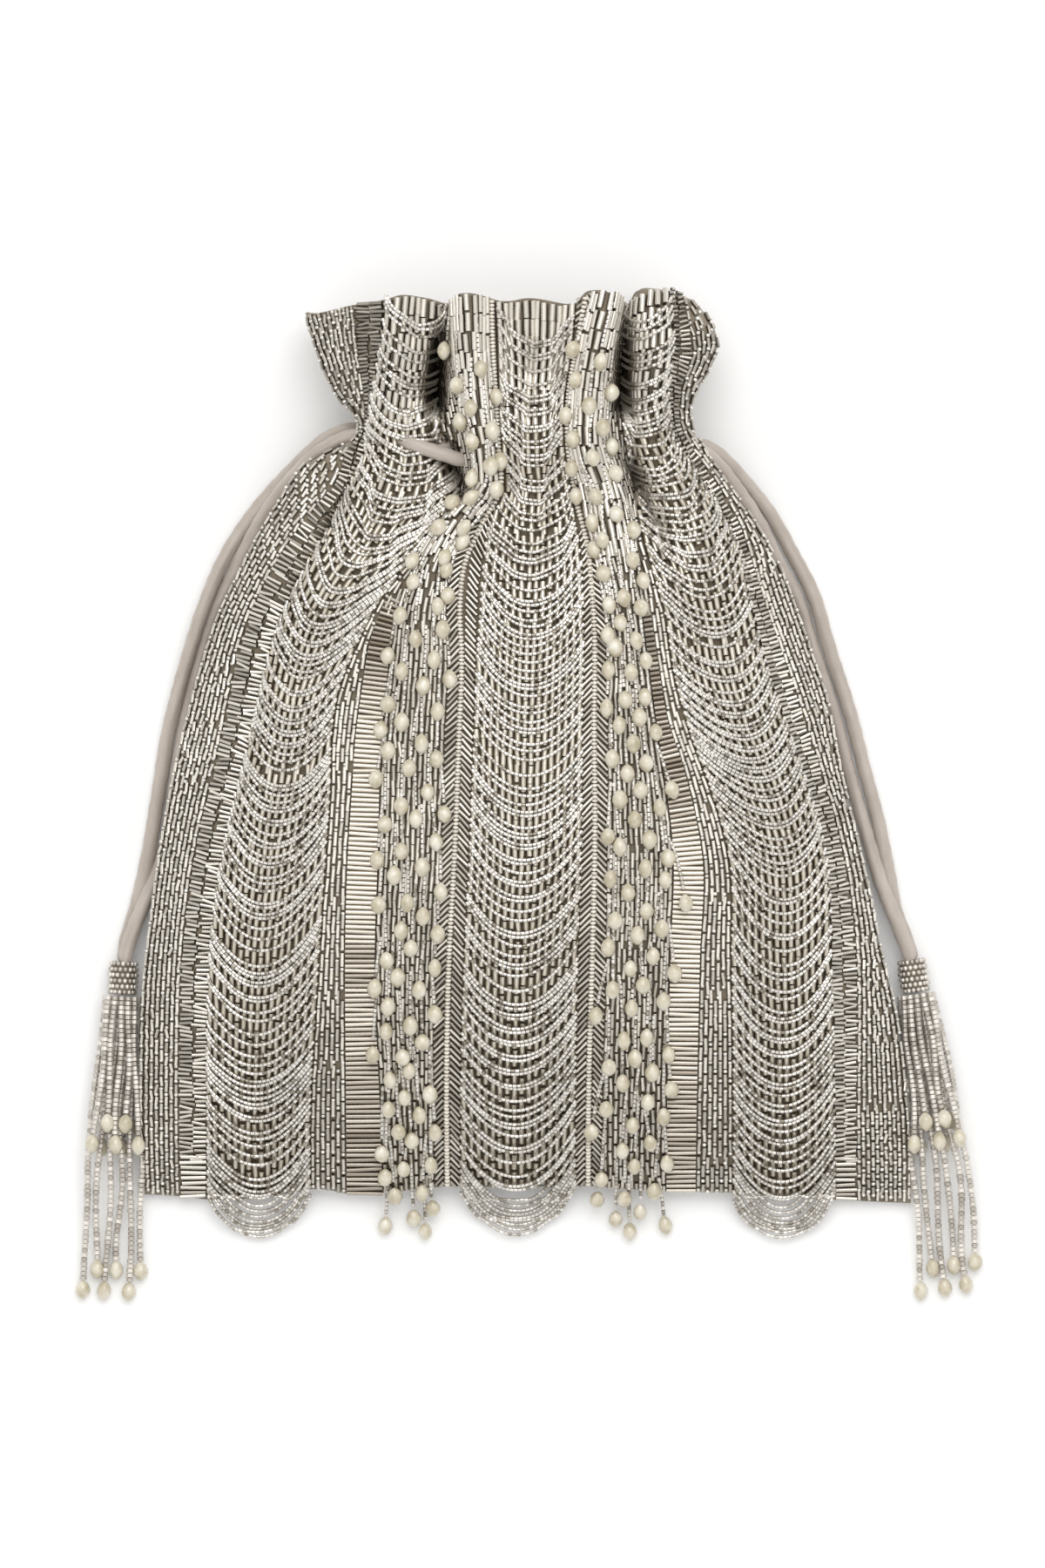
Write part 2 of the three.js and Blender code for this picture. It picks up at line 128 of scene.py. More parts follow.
# %% Putting arrays into a mesh
def new_piece(name, points, face_sets, material, attributes=None, replaces=()):
    """One mesh object. face_sets holds arrays of triangles or quads, as rows of point numbers."""
    mesh = bpy.data.meshes.new(name)
    corners = np.concatenate([faces.ravel() for faces in face_sets]).astype(np.int32)
    totals = np.concatenate([np.full(len(faces), faces.shape[1]) for faces in face_sets])
    starts = np.concatenate([[0], totals.cumsum()[:-1]]).astype(np.int32)
    mesh.vertices.add(len(points))
    mesh.vertices.foreach_set("co", np.asarray(points, np.float32).ravel())
    mesh.loops.add(len(corners))
    mesh.loops.foreach_set("vertex_index", corners)
    mesh.polygons.add(len(starts))
    mesh.polygons.foreach_set("loop_start", starts)
    mesh.polygons.foreach_set("use_smooth", np.full(len(starts), True))
    mesh.update(calc_edges=True)
    for label, values in (attributes or {}).items():
        kind = "FLOAT" if values.ndim == 1 else "FLOAT_VECTOR"
        layer = mesh.attributes.new(label, kind, "POINT")
        key = "value" if values.ndim == 1 else "vector"
        layer.data.foreach_set(key, np.asarray(values, np.float32).ravel())
    mesh.materials.append(material)
    piece = bpy.data.objects.new(name, mesh)
    scene.collection.objects.link(piece)
    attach(piece, "root")
    if replaces:
        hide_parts(*replaces)
    print(name, len(points), "points", sum(len(f) * (f.shape[1] - 2) for f in face_sets), "triangles")
    return piece


def grid_quads(rows, columns, closed=False):
    """Quads between neighbours of a grid whose points are numbered row by row."""
    last = columns if closed else columns - 1
    i, j = np.meshgrid(np.arange(rows - 1), np.arange(last), indexing="ij")
    a = i * columns + j
    b = i * columns + (j + 1) % columns
    return np.stack([a, b, b + columns, a + columns], axis=-1).reshape(-1, 4)


# %% [markdown]
# Materials come next, so that each piece gets its own as it is made. They are small node trees
# round one Principled shader. A bead's colour lies between a dark and a light tone by the `tone`
# attribute of that bead. The tone differs at random from bead to bead. It also carries painted
# shade, in deep folds and over the ruffle, and on bugles a painted highlight along the upper side.

# %% Material helpers
def principled(name, colour, roughness, metallic=0.0, **constants):
    """A material with one Principled shader. Constants go straight onto the shader's sockets."""
    material = bpy.data.materials.new(name)
    material.use_nodes = True
    tree = material.node_tree
    shader = tree.nodes["Principled BSDF"]
    shader.inputs["Base Color"].default_value = (*colour, 1)
    shader.inputs["Roughness"].default_value = roughness
    shader.inputs["Metallic"].default_value = metallic
    for socket, value in constants.items():
        shader.inputs[socket.replace("_", " ").title()].default_value = value
    return material, tree, shader


def add_node(tree, kind, inputs=None, **settings):
    """A new node with its settings, its input numbers set and its input links made."""
    node = tree.nodes.new(kind)
    for key, value in settings.items():
        setattr(node, key, value)
    for socket, value in (inputs or {}).items():
        if isinstance(value, bpy.types.NodeSocket):
            tree.links.new(value, node.inputs[socket])
        else:
            node.inputs[socket].default_value = value
    return node


def colour_between(tree, factor, stops):
    """A colour ramp through the given (position, colour) stops, led by factor."""
    ramp = add_node(tree, "ShaderNodeValToRGB", {"Fac": factor})
    elements = ramp.color_ramp.elements
    while len(elements) < len(stops):
        elements.new(0.5)
    for element, (position, colour) in zip(elements, stops):
        element.position = position
        element.color = (*colour, 1)
    return ramp.outputs["Color"]


def mapped(tree, value, low, high):
    """value from 0 to 1 carried to low to high."""
    node = add_node(tree, "ShaderNodeMapRange", {"Value": value, "To Min": low, "To Max": high})
    return node.outputs["Result"]


def object_place(tree):
    """A point's own place on the piece, in metres."""
    return add_node(tree, "ShaderNodeTexCoord").outputs["Object"]


# %% [markdown]
# Silver-lined glass is a clear tube over a mirror core. A metallic base under a clear coat gives
# that look at a fraction of the cost of real refraction. The long champagne bugles, the seed beads
# of the swags and the small grey-silver bugles share one recipe with other colours.

# %% Bead materials
def bead_glass(name, dark, light, metallic, roughness, coat):
    """Mirror-cored glass: tone leads the colour, and fine noise leads the roughness."""
    material, tree, shader = principled(name, light, roughness, metallic, Coat_weight=coat,
                                        Coat_roughness=0.08)
    tone = add_node(tree, "ShaderNodeAttribute", attribute_name="tone")
    middle = tuple(0.5 * (d + l) for d, l in zip(dark, light))
    colour = colour_between(tree, tone.outputs["Fac"], [(0.0, dark), (0.5, middle), (1.0, light)])
    tree.links.new(colour, shader.inputs["Base Color"])
    grain = add_node(tree, "ShaderNodeTexNoise",
                     {"Vector": object_place(tree), "Scale": 900.0, "Detail": 2.0})
    rough = mapped(tree, grain.outputs["Fac"], roughness * 0.6, roughness * 1.5)
    tree.links.new(rough, shader.inputs["Roughness"])
    return material


silver_glass = bead_glass("silver_lined_bugles", (0.105, 0.082, 0.055), (1.0, 0.945, 0.85),
                          0.85, 0.26, 0.35)
olive_glass = bead_glass("olive_lined_bugles", (0.27, 0.22, 0.15), (0.96, 0.905, 0.795), 0.8, 0.3, 0.35)
swag_glass = bead_glass("silver_seed_beads", (0.30, 0.26, 0.205), (0.96, 0.925, 0.87), 0.65, 0.3, 0.35)
tassel_glass = bead_glass("warm_seed_beads", (0.25, 0.205, 0.155), (0.93, 0.88, 0.81), 0.6, 0.3, 0.5)
champagne_glass = bead_glass("champagne_bugles", (0.12, 0.083, 0.048), (0.985, 0.915, 0.80), 0.8, 0.3, 0.4)
spine_glass = bead_glass("milky_seed_beads", (0.60, 0.54, 0.46), (0.92, 0.87, 0.78), 0.1, 0.5, 0.2)


def pearl_lustre():
    """Cream rice pearls: a soft body colour with uneven bands, under a clear lustrous coat."""
    material, tree, shader = principled("rice_pearl", (0.66, 0.60, 0.47), 0.3, Coat_weight=1.0,
                                        Coat_roughness=0.10, Subsurface_weight=0.12)
    shader.inputs["Subsurface Radius"].default_value = (1.0 * MM, 0.8 * MM, 0.5 * MM)
    shader.inputs["Subsurface Scale"].default_value = 1.0
    place = object_place(tree)
    cloud = add_node(tree, "ShaderNodeTexNoise", {"Vector": place, "Scale": 260.0, "Detail": 3.0})
    colour = colour_between(tree, cloud.outputs["Fac"], [
        (0.25, (0.44, 0.38, 0.25)), (0.5, (0.66, 0.60, 0.465)), (0.75, (0.84, 0.80, 0.70))])
    tree.links.new(colour, shader.inputs["Base Color"])
    rings = add_node(tree, "ShaderNodeTexNoise", {"Vector": place, "Scale": 700.0, "Detail": 1.0})
    bump = add_node(tree, "ShaderNodeBump",
                    {"Height": rings.outputs["Fac"], "Strength": 0.35, "Distance": 0.3 * MM})
    tree.links.new(bump.outputs["Normal"], shader.inputs["Normal"])
    return material


rice_pearl = pearl_lustre()

# %% [markdown]
# Three cloths: the taupe ground that the beads are sewn to, the lining satin and the satin of the
# drawstrings. The ground has a plain weave from two crossed waves. Satin shows long soft streaks
# along its length, so its noise is stretched that way, with a little sheen.

# %% Cloth materials
def woven_cloth(name, dark, light, thread):
    """Plain weave: two crossed waves of the thread's width lead the bump, slow noise the colour."""
    material, tree, shader = principled(name, light, 0.75, Sheen_weight=0.35, Sheen_roughness=0.5)
    place = object_place(tree)
    shade = add_node(tree, "ShaderNodeTexNoise", {"Vector": place, "Scale": 90.0, "Detail": 6.0})
    colour = colour_between(tree, shade.outputs["Fac"], [(0.3, dark), (0.7, light)])
    tree.links.new(colour, shader.inputs["Base Color"])
    waves = [add_node(tree, "ShaderNodeTexWave", {"Vector": place, "Scale": 0.31 / thread,
                                                  "Distortion": 0.4, "Detail Scale": 2.0},
                      wave_type="BANDS", bands_direction=axis) for axis in ("X", "Y")]
    weave = add_node(tree, "ShaderNodeMath", {0: waves[0].outputs["Fac"], 1: waves[1].outputs["Fac"]},
                     operation="MULTIPLY")
    bump = add_node(tree, "ShaderNodeBump",
                    {"Height": weave.outputs["Value"], "Strength": 0.5, "Distance": 0.12 * MM})
    tree.links.new(bump.outputs["Normal"], shader.inputs["Normal"])
    return material


def satin(name, dark, light, source):
    """Satin: noise stretched along the cloth's length leads the colour, the roughness and a bump."""
    material, tree, shader = principled(name, light, 0.42, Sheen_weight=0.25, Sheen_roughness=0.35,
                                        Anisotropic=0.4)
    if source == "along":
        place = add_node(tree, "ShaderNodeAttribute", attribute_name="along").outputs["Vector"]
    else:
        place = object_place(tree)
    stretch = add_node(tree, "ShaderNodeMapping", {"Vector": place, "Scale": (1.0, 1.0, 0.22)})
    streaks = add_node(tree, "ShaderNodeTexNoise",
                       {"Vector": stretch.outputs["Vector"], "Scale": 420.0, "Detail": 4.0})
    colour = colour_between(tree, streaks.outputs["Fac"], [(0.3, dark), (0.7, light)])
    tree.links.new(colour, shader.inputs["Base Color"])
    rough = mapped(tree, streaks.outputs["Fac"], 0.34, 0.52)
    tree.links.new(rough, shader.inputs["Roughness"])
    bump = add_node(tree, "ShaderNodeBump",
                    {"Height": streaks.outputs["Fac"], "Strength": 0.3, "Distance": 0.25 * MM})
    tree.links.new(bump.outputs["Normal"], shader.inputs["Normal"])
    return material


ground_cloth = woven_cloth("taupe_ground_cloth", (0.165, 0.132, 0.09), (0.28, 0.228, 0.16), 0.35 * MM)
back_cloth_finish = woven_cloth("taupe_back_cloth", (0.24, 0.20, 0.15), (0.36, 0.305, 0.24), 0.35 * MM)
lining_satin = satin("lining_satin", (0.38, 0.33, 0.27), (0.50, 0.44, 0.37), "object")
cord_satin = satin("drawstring_satin", (0.44, 0.385, 0.335), (0.56, 0.495, 0.44), "along")

# %% [markdown]
# The cords come first among the pieces, because their route decides how much room the bag takes.
# Each drawstring starts in its tassel, climbs beside the bag, goes in at the slit, round through
# the channel and back out at the same side. Its points are listed in millimetres, with the hem at
# y 0. They follow the imported model's cord within a few millimetres, and lie closer together
# at the shoulders and where one stretch crosses the left valley of the neck.

# %% Routes of the two drawstrings
LEFT_ROUTE = [
    (-107.4, 60.4, 2.9), (-107.2, 62.4, 2.4), (-106.6, 67.0, 2.3), (-104.1, 75.2, 2.2), (-100.9, 88.6, 2.2),
    (-97.2, 111.1, 2.3), (-95.0, 123.7, 2.7), (-89.0, 146.2, 4.8), (-85.6, 156.4, 4.5),
    (-80.3, 168.6, 4.0), (-72.2, 180.8, 4.6), (-60.4, 193.6, 9.0), (-53.4, 199.8, 12.6),
    (-48.4, 202.0, 13.8), (-44.5, 202.6, 13.4), (-40.0, 202.6, 11.4), (-35.0, 202.5, 8.6),
    (-28.0, 202.3, 6.8), (-9.0, 202.3, 6.6), (10.0, 202.3, 6.6), (27.5, 202.3, 6.6),
    (36.4, 202.3, 10.2), (39.7, 202.3, 17.0), (36.4, 202.3, 23.8), (27.5, 202.3, 27.4),
    (10.0, 202.3, 27.4), (-1.5, 200.5, 27.4), (-8.0, 197.3, 28.0), (-13.0, 194.8, 29.4),
    (-17.5, 194.0, 31.2), (-21.0, 194.9, 32.8), (-25.0, 196.2, 33.8), (-28.8, 197.5, 33.5),
    (-32.0, 198.6, 31.5), (-35.4, 199.8, 28.3), (-38.8, 200.5, 24.8), (-41.8, 200.9, 21.8),
    (-44.5, 200.9, 19.8), (-48.6, 200.0, 18.4), (-53.6, 197.4, 16.8), (-60.0, 192.0, 13.4),
    (-69.8, 179.8, 8.1), (-76.8, 166.8, 4.2), (-83.0, 154.6, 2.3),
    (-86.0, 146.2, 2.2), (-91.2, 123.0, 2.2), (-93.2, 110.4, 2.2), (-96.9, 88.4, 2.2),
    (-102.0, 76.2, 5.4), (-105.6, 66.6, 6.4), (-106.6, 62.4, 6.5), (-106.8, 60.4, 6.0)]
RIGHT_ROUTE = [
    (102.0, 60.9, 2.9), (101.8, 62.9, 2.4), (100.6, 66.9, 2.3), (97.4, 75.4, 2.2), (96.0, 83.4, 2.2),
    (93.0, 98.7, 2.2), (89.2, 112.9, 2.2), (85.6, 126.9, 2.2), (79.8, 144.8, 2.2),
    (75.8, 158.5, 2.2), (70.4, 169.3, 2.2), (64.6, 179.7, 4.2), (58.2, 188.0, 7.4),
    (52.6, 194.0, 10.8), (48.6, 197.2, 13.0), (44.7, 198.3, 13.2), (40.2, 198.2, 11.4),
    (35.0, 197.7, 8.6), (28.0, 197.5, 6.8), (9.0, 197.5, 6.6), (-12.0, 197.5, 6.6),
    (-33.5, 197.4, 6.6), (-43.3, 197.4, 10.2), (-47.0, 197.4, 17.0), (-43.3, 197.4, 23.8),
    (-33.5, 197.4, 27.4), (-12.0, 197.5, 27.4), (9.0, 197.5, 27.4), (28.0, 197.5, 27.2),
    (35.0, 197.5, 25.4), (40.2, 197.6, 22.5), (44.3, 197.2, 19.9), (47.4, 195.6, 18.2),
    (50.9, 192.4, 15.4), (55.4, 186.6, 11.8), (60.9, 178.4, 7.8), (66.2, 167.6, 4.4),
    (71.8, 157.2, 2.2), (75.8, 143.8, 2.2), (81.6, 126.0, 2.3), (85.2, 112.0, 2.3),
    (89.2, 97.9, 2.8), (93.4, 83.0, 5.1), (97.9, 71.5, 6.3), (101.2, 62.9, 6.5), (101.4, 60.9, 6.0)]
routes = {side: np.array(points) * MM - (0, HEM_BELOW_ORIGIN, 0)
          for side, points in (("left", LEFT_ROUTE), ("right", RIGHT_ROUTE))}


# %% A smooth line through chosen points
def smooth_line(points, spacing):
    """A centripetal Catmull-Rom line, sampled at even steps of length.

    Between two points the line is a cubic whose slopes come from the neighbours, each span
    weighted by the square root of its length, so that it makes no loops at close points.
    """
    ends = np.vstack([2 * points[0] - points[1], points, 2 * points[-1] - points[-2]])
    p0, p1, p2, p3 = ends[:-3], ends[1:-2], ends[2:-1], ends[3:]
    d0, d1, d2 = (np.sqrt(np.linalg.norm(b - a, axis=1))[:, None]
                  for a, b in ((p0, p1), (p1, p2), (p2, p3)))
    slope1 = ((p1 - p0) / d0 - (p2 - p0) / (d0 + d1) + (p2 - p1) / d1) * d1
    slope2 = ((p2 - p1) / d1 - (p3 - p1) / (d1 + d2) + (p3 - p2) / d2) * d1
    t = np.linspace(0, 1, 24, endpoint=False)[None, :, None]
    p1, p2, slope1, slope2 = (a[:, None, :] for a in (p1, p2, slope1, slope2))
    line = (p1 * (2 * t**3 - 3 * t**2 + 1) + slope1 * (t**3 - 2 * t**2 + t)
            + p2 * (3 * t**2 - 2 * t**3) + slope2 * (t**3 - t**2)).reshape(-1, 3)
    line = np.vstack([line, points[-1]])
    gone = np.concatenate([[0], np.linalg.norm(np.diff(line, axis=0), axis=1).cumsum()])
    even = np.linspace(0, gone[-1], int(gone[-1] / spacing) + 1)
    return places_along(line, gone, even), gone[-1]


def places_along(path, gone, where):
    """Points of a path at the given distances, where gone is each path point's own distance."""
    return np.column_stack([np.interp(where, gone, path[:, k]) for k in range(3)])


def frames_along(line):
    """Two directions square to the line at each point, turning as little as they can."""
    ahead = np.gradient(line, axis=0)
    ahead /= np.linalg.norm(ahead, axis=1, keepdims=True)
    side = np.cross(ahead[0], (0.0, 0.0, 1.0))
    sides = []
    for direction in ahead:
        side = side - direction * (side @ direction)
        side = side / np.linalg.norm(side)
        sides.append(side)
    sides = np.array(sides)
    return ahead, sides, np.cross(ahead, sides)


# %% [markdown]
# A satin drawstring is a flat strip sewn to a tube and turned right side out. It isn't quite
# round, its seam pulls it into small puckers, and it twists slowly. The tube's radius takes those
# as sums of waves round and along it. The ends close on a pole, inside the tassel's head.

# %% Drawstrings
CORD_DIAMETER = 3.8 * MM
CORD_SIDES = 20
PUCKER_SPACING = 5.2 * MM


def satin_tube(name, route, seed, replaces):
    """A tube whose radius is that of the cord, plus waves for flatness, puckers and the seam."""
    rng = np.random.default_rng(seed)
    line, length = smooth_line(route, 0.9 * MM)
    _, side, up = frames_along(line)
    gone = np.linspace(0, length, len(line))[:, None]
    angle = np.linspace(0, 2 * math.pi, CORD_SIDES, endpoint=False)[None, :]
    twist = gone * 2 * math.pi / 0.19 + rng.uniform(0, 6)
    wobble = sum(np.sin(gone * 2 * math.pi / wave + rng.uniform(0, 6)) for wave in (0.017, 0.029, 0.043))
    flat = 0.05 * np.cos(2 * (angle - twist))
    pucker = 0.035 * np.sin(gone * 2 * math.pi / PUCKER_SPACING + 1.3 * np.cos(angle - twist) + wobble)
    seam = -0.10 * np.exp(-((np.mod(angle - twist, 2 * math.pi) - math.pi) / 0.25) ** 2)
    radius = 0.5 * CORD_DIAMETER * (0.99 + flat + pucker + seam)
    taper = np.sqrt(np.clip(np.minimum(gone, length - gone) / (0.6 * CORD_DIAMETER), 0.05, 1))
    radius = radius * taper
    ring = (line[:, None, :] + radius[..., None] * (np.cos(angle)[..., None] * side[:, None, :]
                                                    + np.sin(angle)[..., None] * up[:, None, :]))
    points = np.vstack([ring.reshape(-1, 3), line[0], line[-1]])
    quads = grid_quads(len(line), CORD_SIDES, closed=True)
    first, last = len(points) - 2, len(points) - 1
    here = np.arange(CORD_SIDES)
    after = (here + 1) % CORD_SIDES
    base = (len(line) - 1) * CORD_SIDES
    caps = np.vstack([np.column_stack([np.full(CORD_SIDES, first), after, here]),
                      np.column_stack([np.full(CORD_SIDES, last), base + here, base + after])])
    half = 0.5 * CORD_DIAMETER
    wrap = np.stack([np.broadcast_to(half * np.cos(angle), radius.shape),
                     np.broadcast_to(half * np.sin(angle), radius.shape),
                     np.broadcast_to(gone, radius.shape)], axis=-1).reshape(-1, 3)
    wrap = np.vstack([wrap, (0, 0, 0), (0, 0, length)])
    cord = new_piece(name, points, [quads, caps], cord_satin,
                     {"along": wrap}, replaces=replaces)
    return cord, line, length


for side, route in routes.items():
    cord, line, length = satin_tube("satin_cord_" + side, route, 5 if side == "left" else 6,
                                    ["drawstring_" + side])
    print(side, "drawstring", round(length, 3), "m")

# %% [markdown]
# Soft studio light: a sky that is bright overhead and dimmer toward the horizon, and one broad
# lamp beyond the ruffle. Mirror-cored beads need that difference, because under an even sky every
# side of a bead reflects the same grey. The floor is near white, lifted to white for the rays that
# only look at it, and it keeps the bag's soft shadow.

# %% Light and floor
SKY_STOPS = [(0.0, (0.48, 0.48, 0.48)), (0.48, (0.54, 0.54, 0.54)), (0.70, (0.76, 0.76, 0.76)),
             (1.0, (1.05, 1.05, 1.04))]
KEY_PLACE = Vector((0.1, 0.9, 1.6))
KEY_SIZE = 1.3
KEY_POWER = 12.0
FLOOR_COLOUR = (0.90, 0.90, 0.895)
FLOOR_LIFT = 0.10

world = bpy.data.worlds.new("studio_sky")
world.use_nodes = True
scene.world = world
sky_tree = world.node_tree
sky_place = add_node(sky_tree, "ShaderNodeTexCoord")
sky_height = add_node(sky_tree, "ShaderNodeSeparateXYZ", {"Vector": sky_place.outputs["Generated"]})
sky_share = add_node(sky_tree, "ShaderNodeMapRange",
                     {"Value": sky_height.outputs["Z"], "From Min": -1.0, "From Max": 1.0})
sky_colour = colour_between(sky_tree, sky_share.outputs["Result"], SKY_STOPS)
sky_tree.links.new(sky_colour, sky_tree.nodes["Background"].inputs["Color"])

key_data = bpy.data.lights.new("broad_lamp", "AREA")
key_data.energy = KEY_POWER
key_data.size = KEY_SIZE
key = bpy.data.objects.new("broad_lamp", key_data)
key.location = KEY_PLACE
key.rotation_euler = (-KEY_PLACE).to_track_quat("-Z", "Y").to_euler()
scene.collection.objects.link(key)
scene.view_settings.view_transform = "Standard"

floor_material, floor_tree, floor_shader = principled("pale_floor", FLOOR_COLOUR, 0.9)
rays = add_node(floor_tree, "ShaderNodeLightPath")
seen = add_node(floor_tree, "ShaderNodeMath", {0: rays.outputs["Is Camera Ray"],
                                               1: rays.outputs["Is Glossy Ray"]}, operation="MAXIMUM")
seen = add_node(floor_tree, "ShaderNodeMath", {0: seen.outputs["Value"],
                                               1: rays.outputs["Is Transmission Ray"]},
                operation="MAXIMUM")
lift = mapped(floor_tree, seen.outputs["Value"], 0.0, FLOOR_LIFT)
floor_tree.links.new(lift, floor_shader.inputs["Emission Strength"])
floor_shader.inputs["Emission Color"].default_value = (1, 1, 1, 1)
floor_mesh = bpy.data.meshes.new("floor")
FLOOR_HALF = 4.0
floor_mesh.from_pydata([(-FLOOR_HALF, -FLOOR_HALF, 0), (FLOOR_HALF, -FLOOR_HALF, 0),
                        (FLOOR_HALF, FLOOR_HALF, 0), (-FLOOR_HALF, FLOOR_HALF, 0)], [], [(0, 1, 2, 3)])
floor_mesh.materials.append(floor_material)
floor = bpy.data.objects.new("floor", floor_mesh)
scene.collection.objects.link(floor)
floor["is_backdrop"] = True

# %% [markdown]
# The bag's outline is measured on the photograph: each edge as a few (row, column) pixels, with a
# smooth line through them. The seams between the columns of beadwork are measured the same way.
# All of them run together at the neck, where the cloth is gathered on its drawstrings, and fan out
# again into the ruffle, so beads that follow the seams fan out too.

# %% Lines measured on the photograph
LEFT_EDGE = [(330, 340), (361, 351), (408, 366), (433, 376), (456, 389), (473, 405), (488, 412),
             (503, 407), (510, 399), (519, 379), (532, 353), (549, 338), (581, 318), (621, 294),
             (662, 273), (706, 251), (737, 240), (813, 218), (888, 200), (975, 184),
             (1043, 175), (1113, 166), (1230, 161), (1350, 160), (1430, 163)]
RIGHT_EDGE = [(330, 778), (345, 797), (360, 810), (376, 820), (393, 824), (416, 817), (442, 804),
              (469, 792), (492, 796), (519, 810), (546, 828), (590, 860), (642, 891), (699, 914),
              (747, 931), (807, 951), (866, 962), (912, 972), (968, 986), (1040, 1002), (1102, 1015),
              (1137, 1024), (1300, 1045), (1430, 1049)]
TOP_EDGE = [(345, 361), (351, 361), (400, 352), (445, 345), (462, 341), (500, 347), (515, 352),
            (525, 342), (541, 339), (558, 342), (568, 346), (610, 344), (664, 347), (676, 339),
            (693, 335), (706, 338), (716, 351), (727, 345), (750, 333), (781, 337), (805, 350)]
HEM_EDGE = [(150, 1371), (207, 1375), (239, 1379), (300, 1376), (370, 1367), (402, 1373),
            (440, 1371), (505, 1364), (600, 1364), (665, 1363), (765, 1369), (842, 1371),
            (960, 1379), (1050, 1383)]
SEAMS = {
    "outer_left": [(343, 405), (400, 410), (460, 420), (490, 420), (520, 400), (560, 382), (600, 350),
                   (700, 292), (850, 255), (1000, 222), (1300, 205), (1430, 206)],
    "short_left": [(343, 447), (400, 441), (460, 431), (500, 424), (520, 421), (560, 405), (600, 385),
                   (700, 330), (850, 290), (1000, 255), (1300, 237), (1430, 238)],
    "swag_left": [(343, 512), (400, 510), (460, 506), (520, 514), (560, 522), (580, 518), (629, 485),
                  (700, 432), (750, 408), (790, 392), (850, 383), (910, 381), (970, 377), (1100, 368),
                  (1300, 356), (1430, 356)],
    "brick_left": [(343, 515), (400, 515), (460, 514), (520, 527), (560, 532), (600, 505), (640, 481),
                   (700, 440), (735, 427), (790, 417), (850, 409), (910, 405), (970, 401), (1300, 397),
                   (1430, 397)],
    "long_left": [(343, 520), (400, 523), (460, 530), (520, 545), (560, 545), (610, 502), (640, 483),
                  (700, 458), (750, 450), (850, 440), (980, 436), (1100, 432), (1300, 438),
                  (1430, 440)],
    "fringe_left": [(343, 560), (400, 560), (460, 562), (520, 566), (560, 568), (610, 534),
                    (640, 520), (700, 513), (750, 515), (850, 511), (980, 507), (1100, 500),
                    (1240, 498), (1430, 500)],
    "spine_left": [(343, 562), (400, 562), (460, 565), (520, 569), (560, 571), (610, 547), (640, 534),
                   (700, 526), (750, 528), (850, 525), (980, 520), (1100, 513), (1240, 510),
                   (1430, 511)],
    "spine_left_end": [(343, 564), (400, 564), (460, 567), (520, 571), (560, 573), (610, 551),
                       (640, 539), (700, 531), (750, 533), (850, 530), (980, 525), (1100, 519),
                       (1240, 516), (1430, 517)],
    "chevron_left": [(343, 566), (400, 568), (460, 571), (520, 575), (560, 577), (600, 564),
                     (640, 557), (700, 552), (750, 548), (850, 544), (980, 539), (1100, 533),
                     (1240, 529), (1430, 529)],
    "swag_centre": [(343, 664), (400, 660), (460, 652), (500, 650), (560, 653), (600, 663),
                    (700, 669), (850, 668), (980, 667), (1100, 663), (1240, 661), (1430, 661)],
    "spine_right": [(343, 672), (400, 663), (460, 654), (520, 653), (560, 658), (600, 668),
                    (700, 678), (850, 679), (950, 680), (1100, 677), (1240, 673), (1430, 673)],
    "spine_right_end": [(343, 674), (400, 665), (460, 656), (520, 655), (560, 661), (600, 670),
                        (700, 683), (850, 684), (950, 685), (1100, 682), (1240, 679), (1430, 679)],
    "chevron_right": [(343, 681), (400, 667), (460, 658), (520, 657), (560, 667), (600, 673),
                      (700, 694), (850, 697), (980, 696), (1100, 695), (1240, 692), (1430, 692)],
    "fringe_right": [(343, 714), (400, 702), (460, 694), (520, 695), (560, 711), (600, 721),
                     (700, 734), (850, 755), (980, 771), (1100, 768), (1300, 765), (1430, 766)],
    "long_right": [(343, 717), (400, 706), (460, 702), (520, 706), (560, 719), (600, 727), (700, 745),
                   (780, 757), (840, 769), (870, 780), (910, 791), (950, 800), (980, 805),
                   (1100, 803), (1300, 800), (1430, 800)],
    "brick_right": [(343, 721), (400, 714), (460, 713), (520, 717), (560, 725), (600, 731),
                    (700, 760), (780, 773), (850, 793), (910, 815), (980, 834), (1100, 838),
                    (1300, 842), (1430, 843)],
    "swag_right": [(343, 765), (400, 768), (460, 762), (500, 768), (520, 778), (560, 806), (600, 832),
                   (700, 860), (780, 880), (850, 905), (980, 944), (1100, 951), (1300, 958),
                   (1430, 960)],
    "short_right": [(343, 782), (400, 794), (460, 779), (500, 783), (520, 797), (560, 824),
                    (600, 846), (700, 880), (850, 930), (1000, 970), (1300, 985), (1430, 987)],
}


def smooth_graph(places):
    """The graph through (input, output) pairs: cubics whose slopes are the pairs' mean slopes."""
    given, values = np.array(places, float).T
    slopes = np.gradient(values, given)

    def graph(where):
        where = np.asarray(where, float)
        k = np.clip(np.searchsorted(given, where) - 1, 0, len(given) - 2)
        wide = given[k + 1] - given[k]
        t = np.clip((where - given[k]) / wide, 0, 1)
        return (values[k] * (2 * t**3 - 3 * t**2 + 1) + wide * slopes[k] * (t**3 - 2 * t**2 + t)
                + values[k + 1] * (3 * t**2 - 2 * t**3) + wide * slopes[k + 1] * (t**3 - t**2))
    return graph


seams = {name: smooth_graph(places) for name, places in SEAMS.items()}
seams["edge_left"] = smooth_graph(LEFT_EDGE)
seams["edge_right"] = smooth_graph(RIGHT_EDGE)
top_row = smooth_graph(TOP_EDGE)
hem_row = smooth_graph(HEM_EDGE)
print("seams measured:", len(seams))

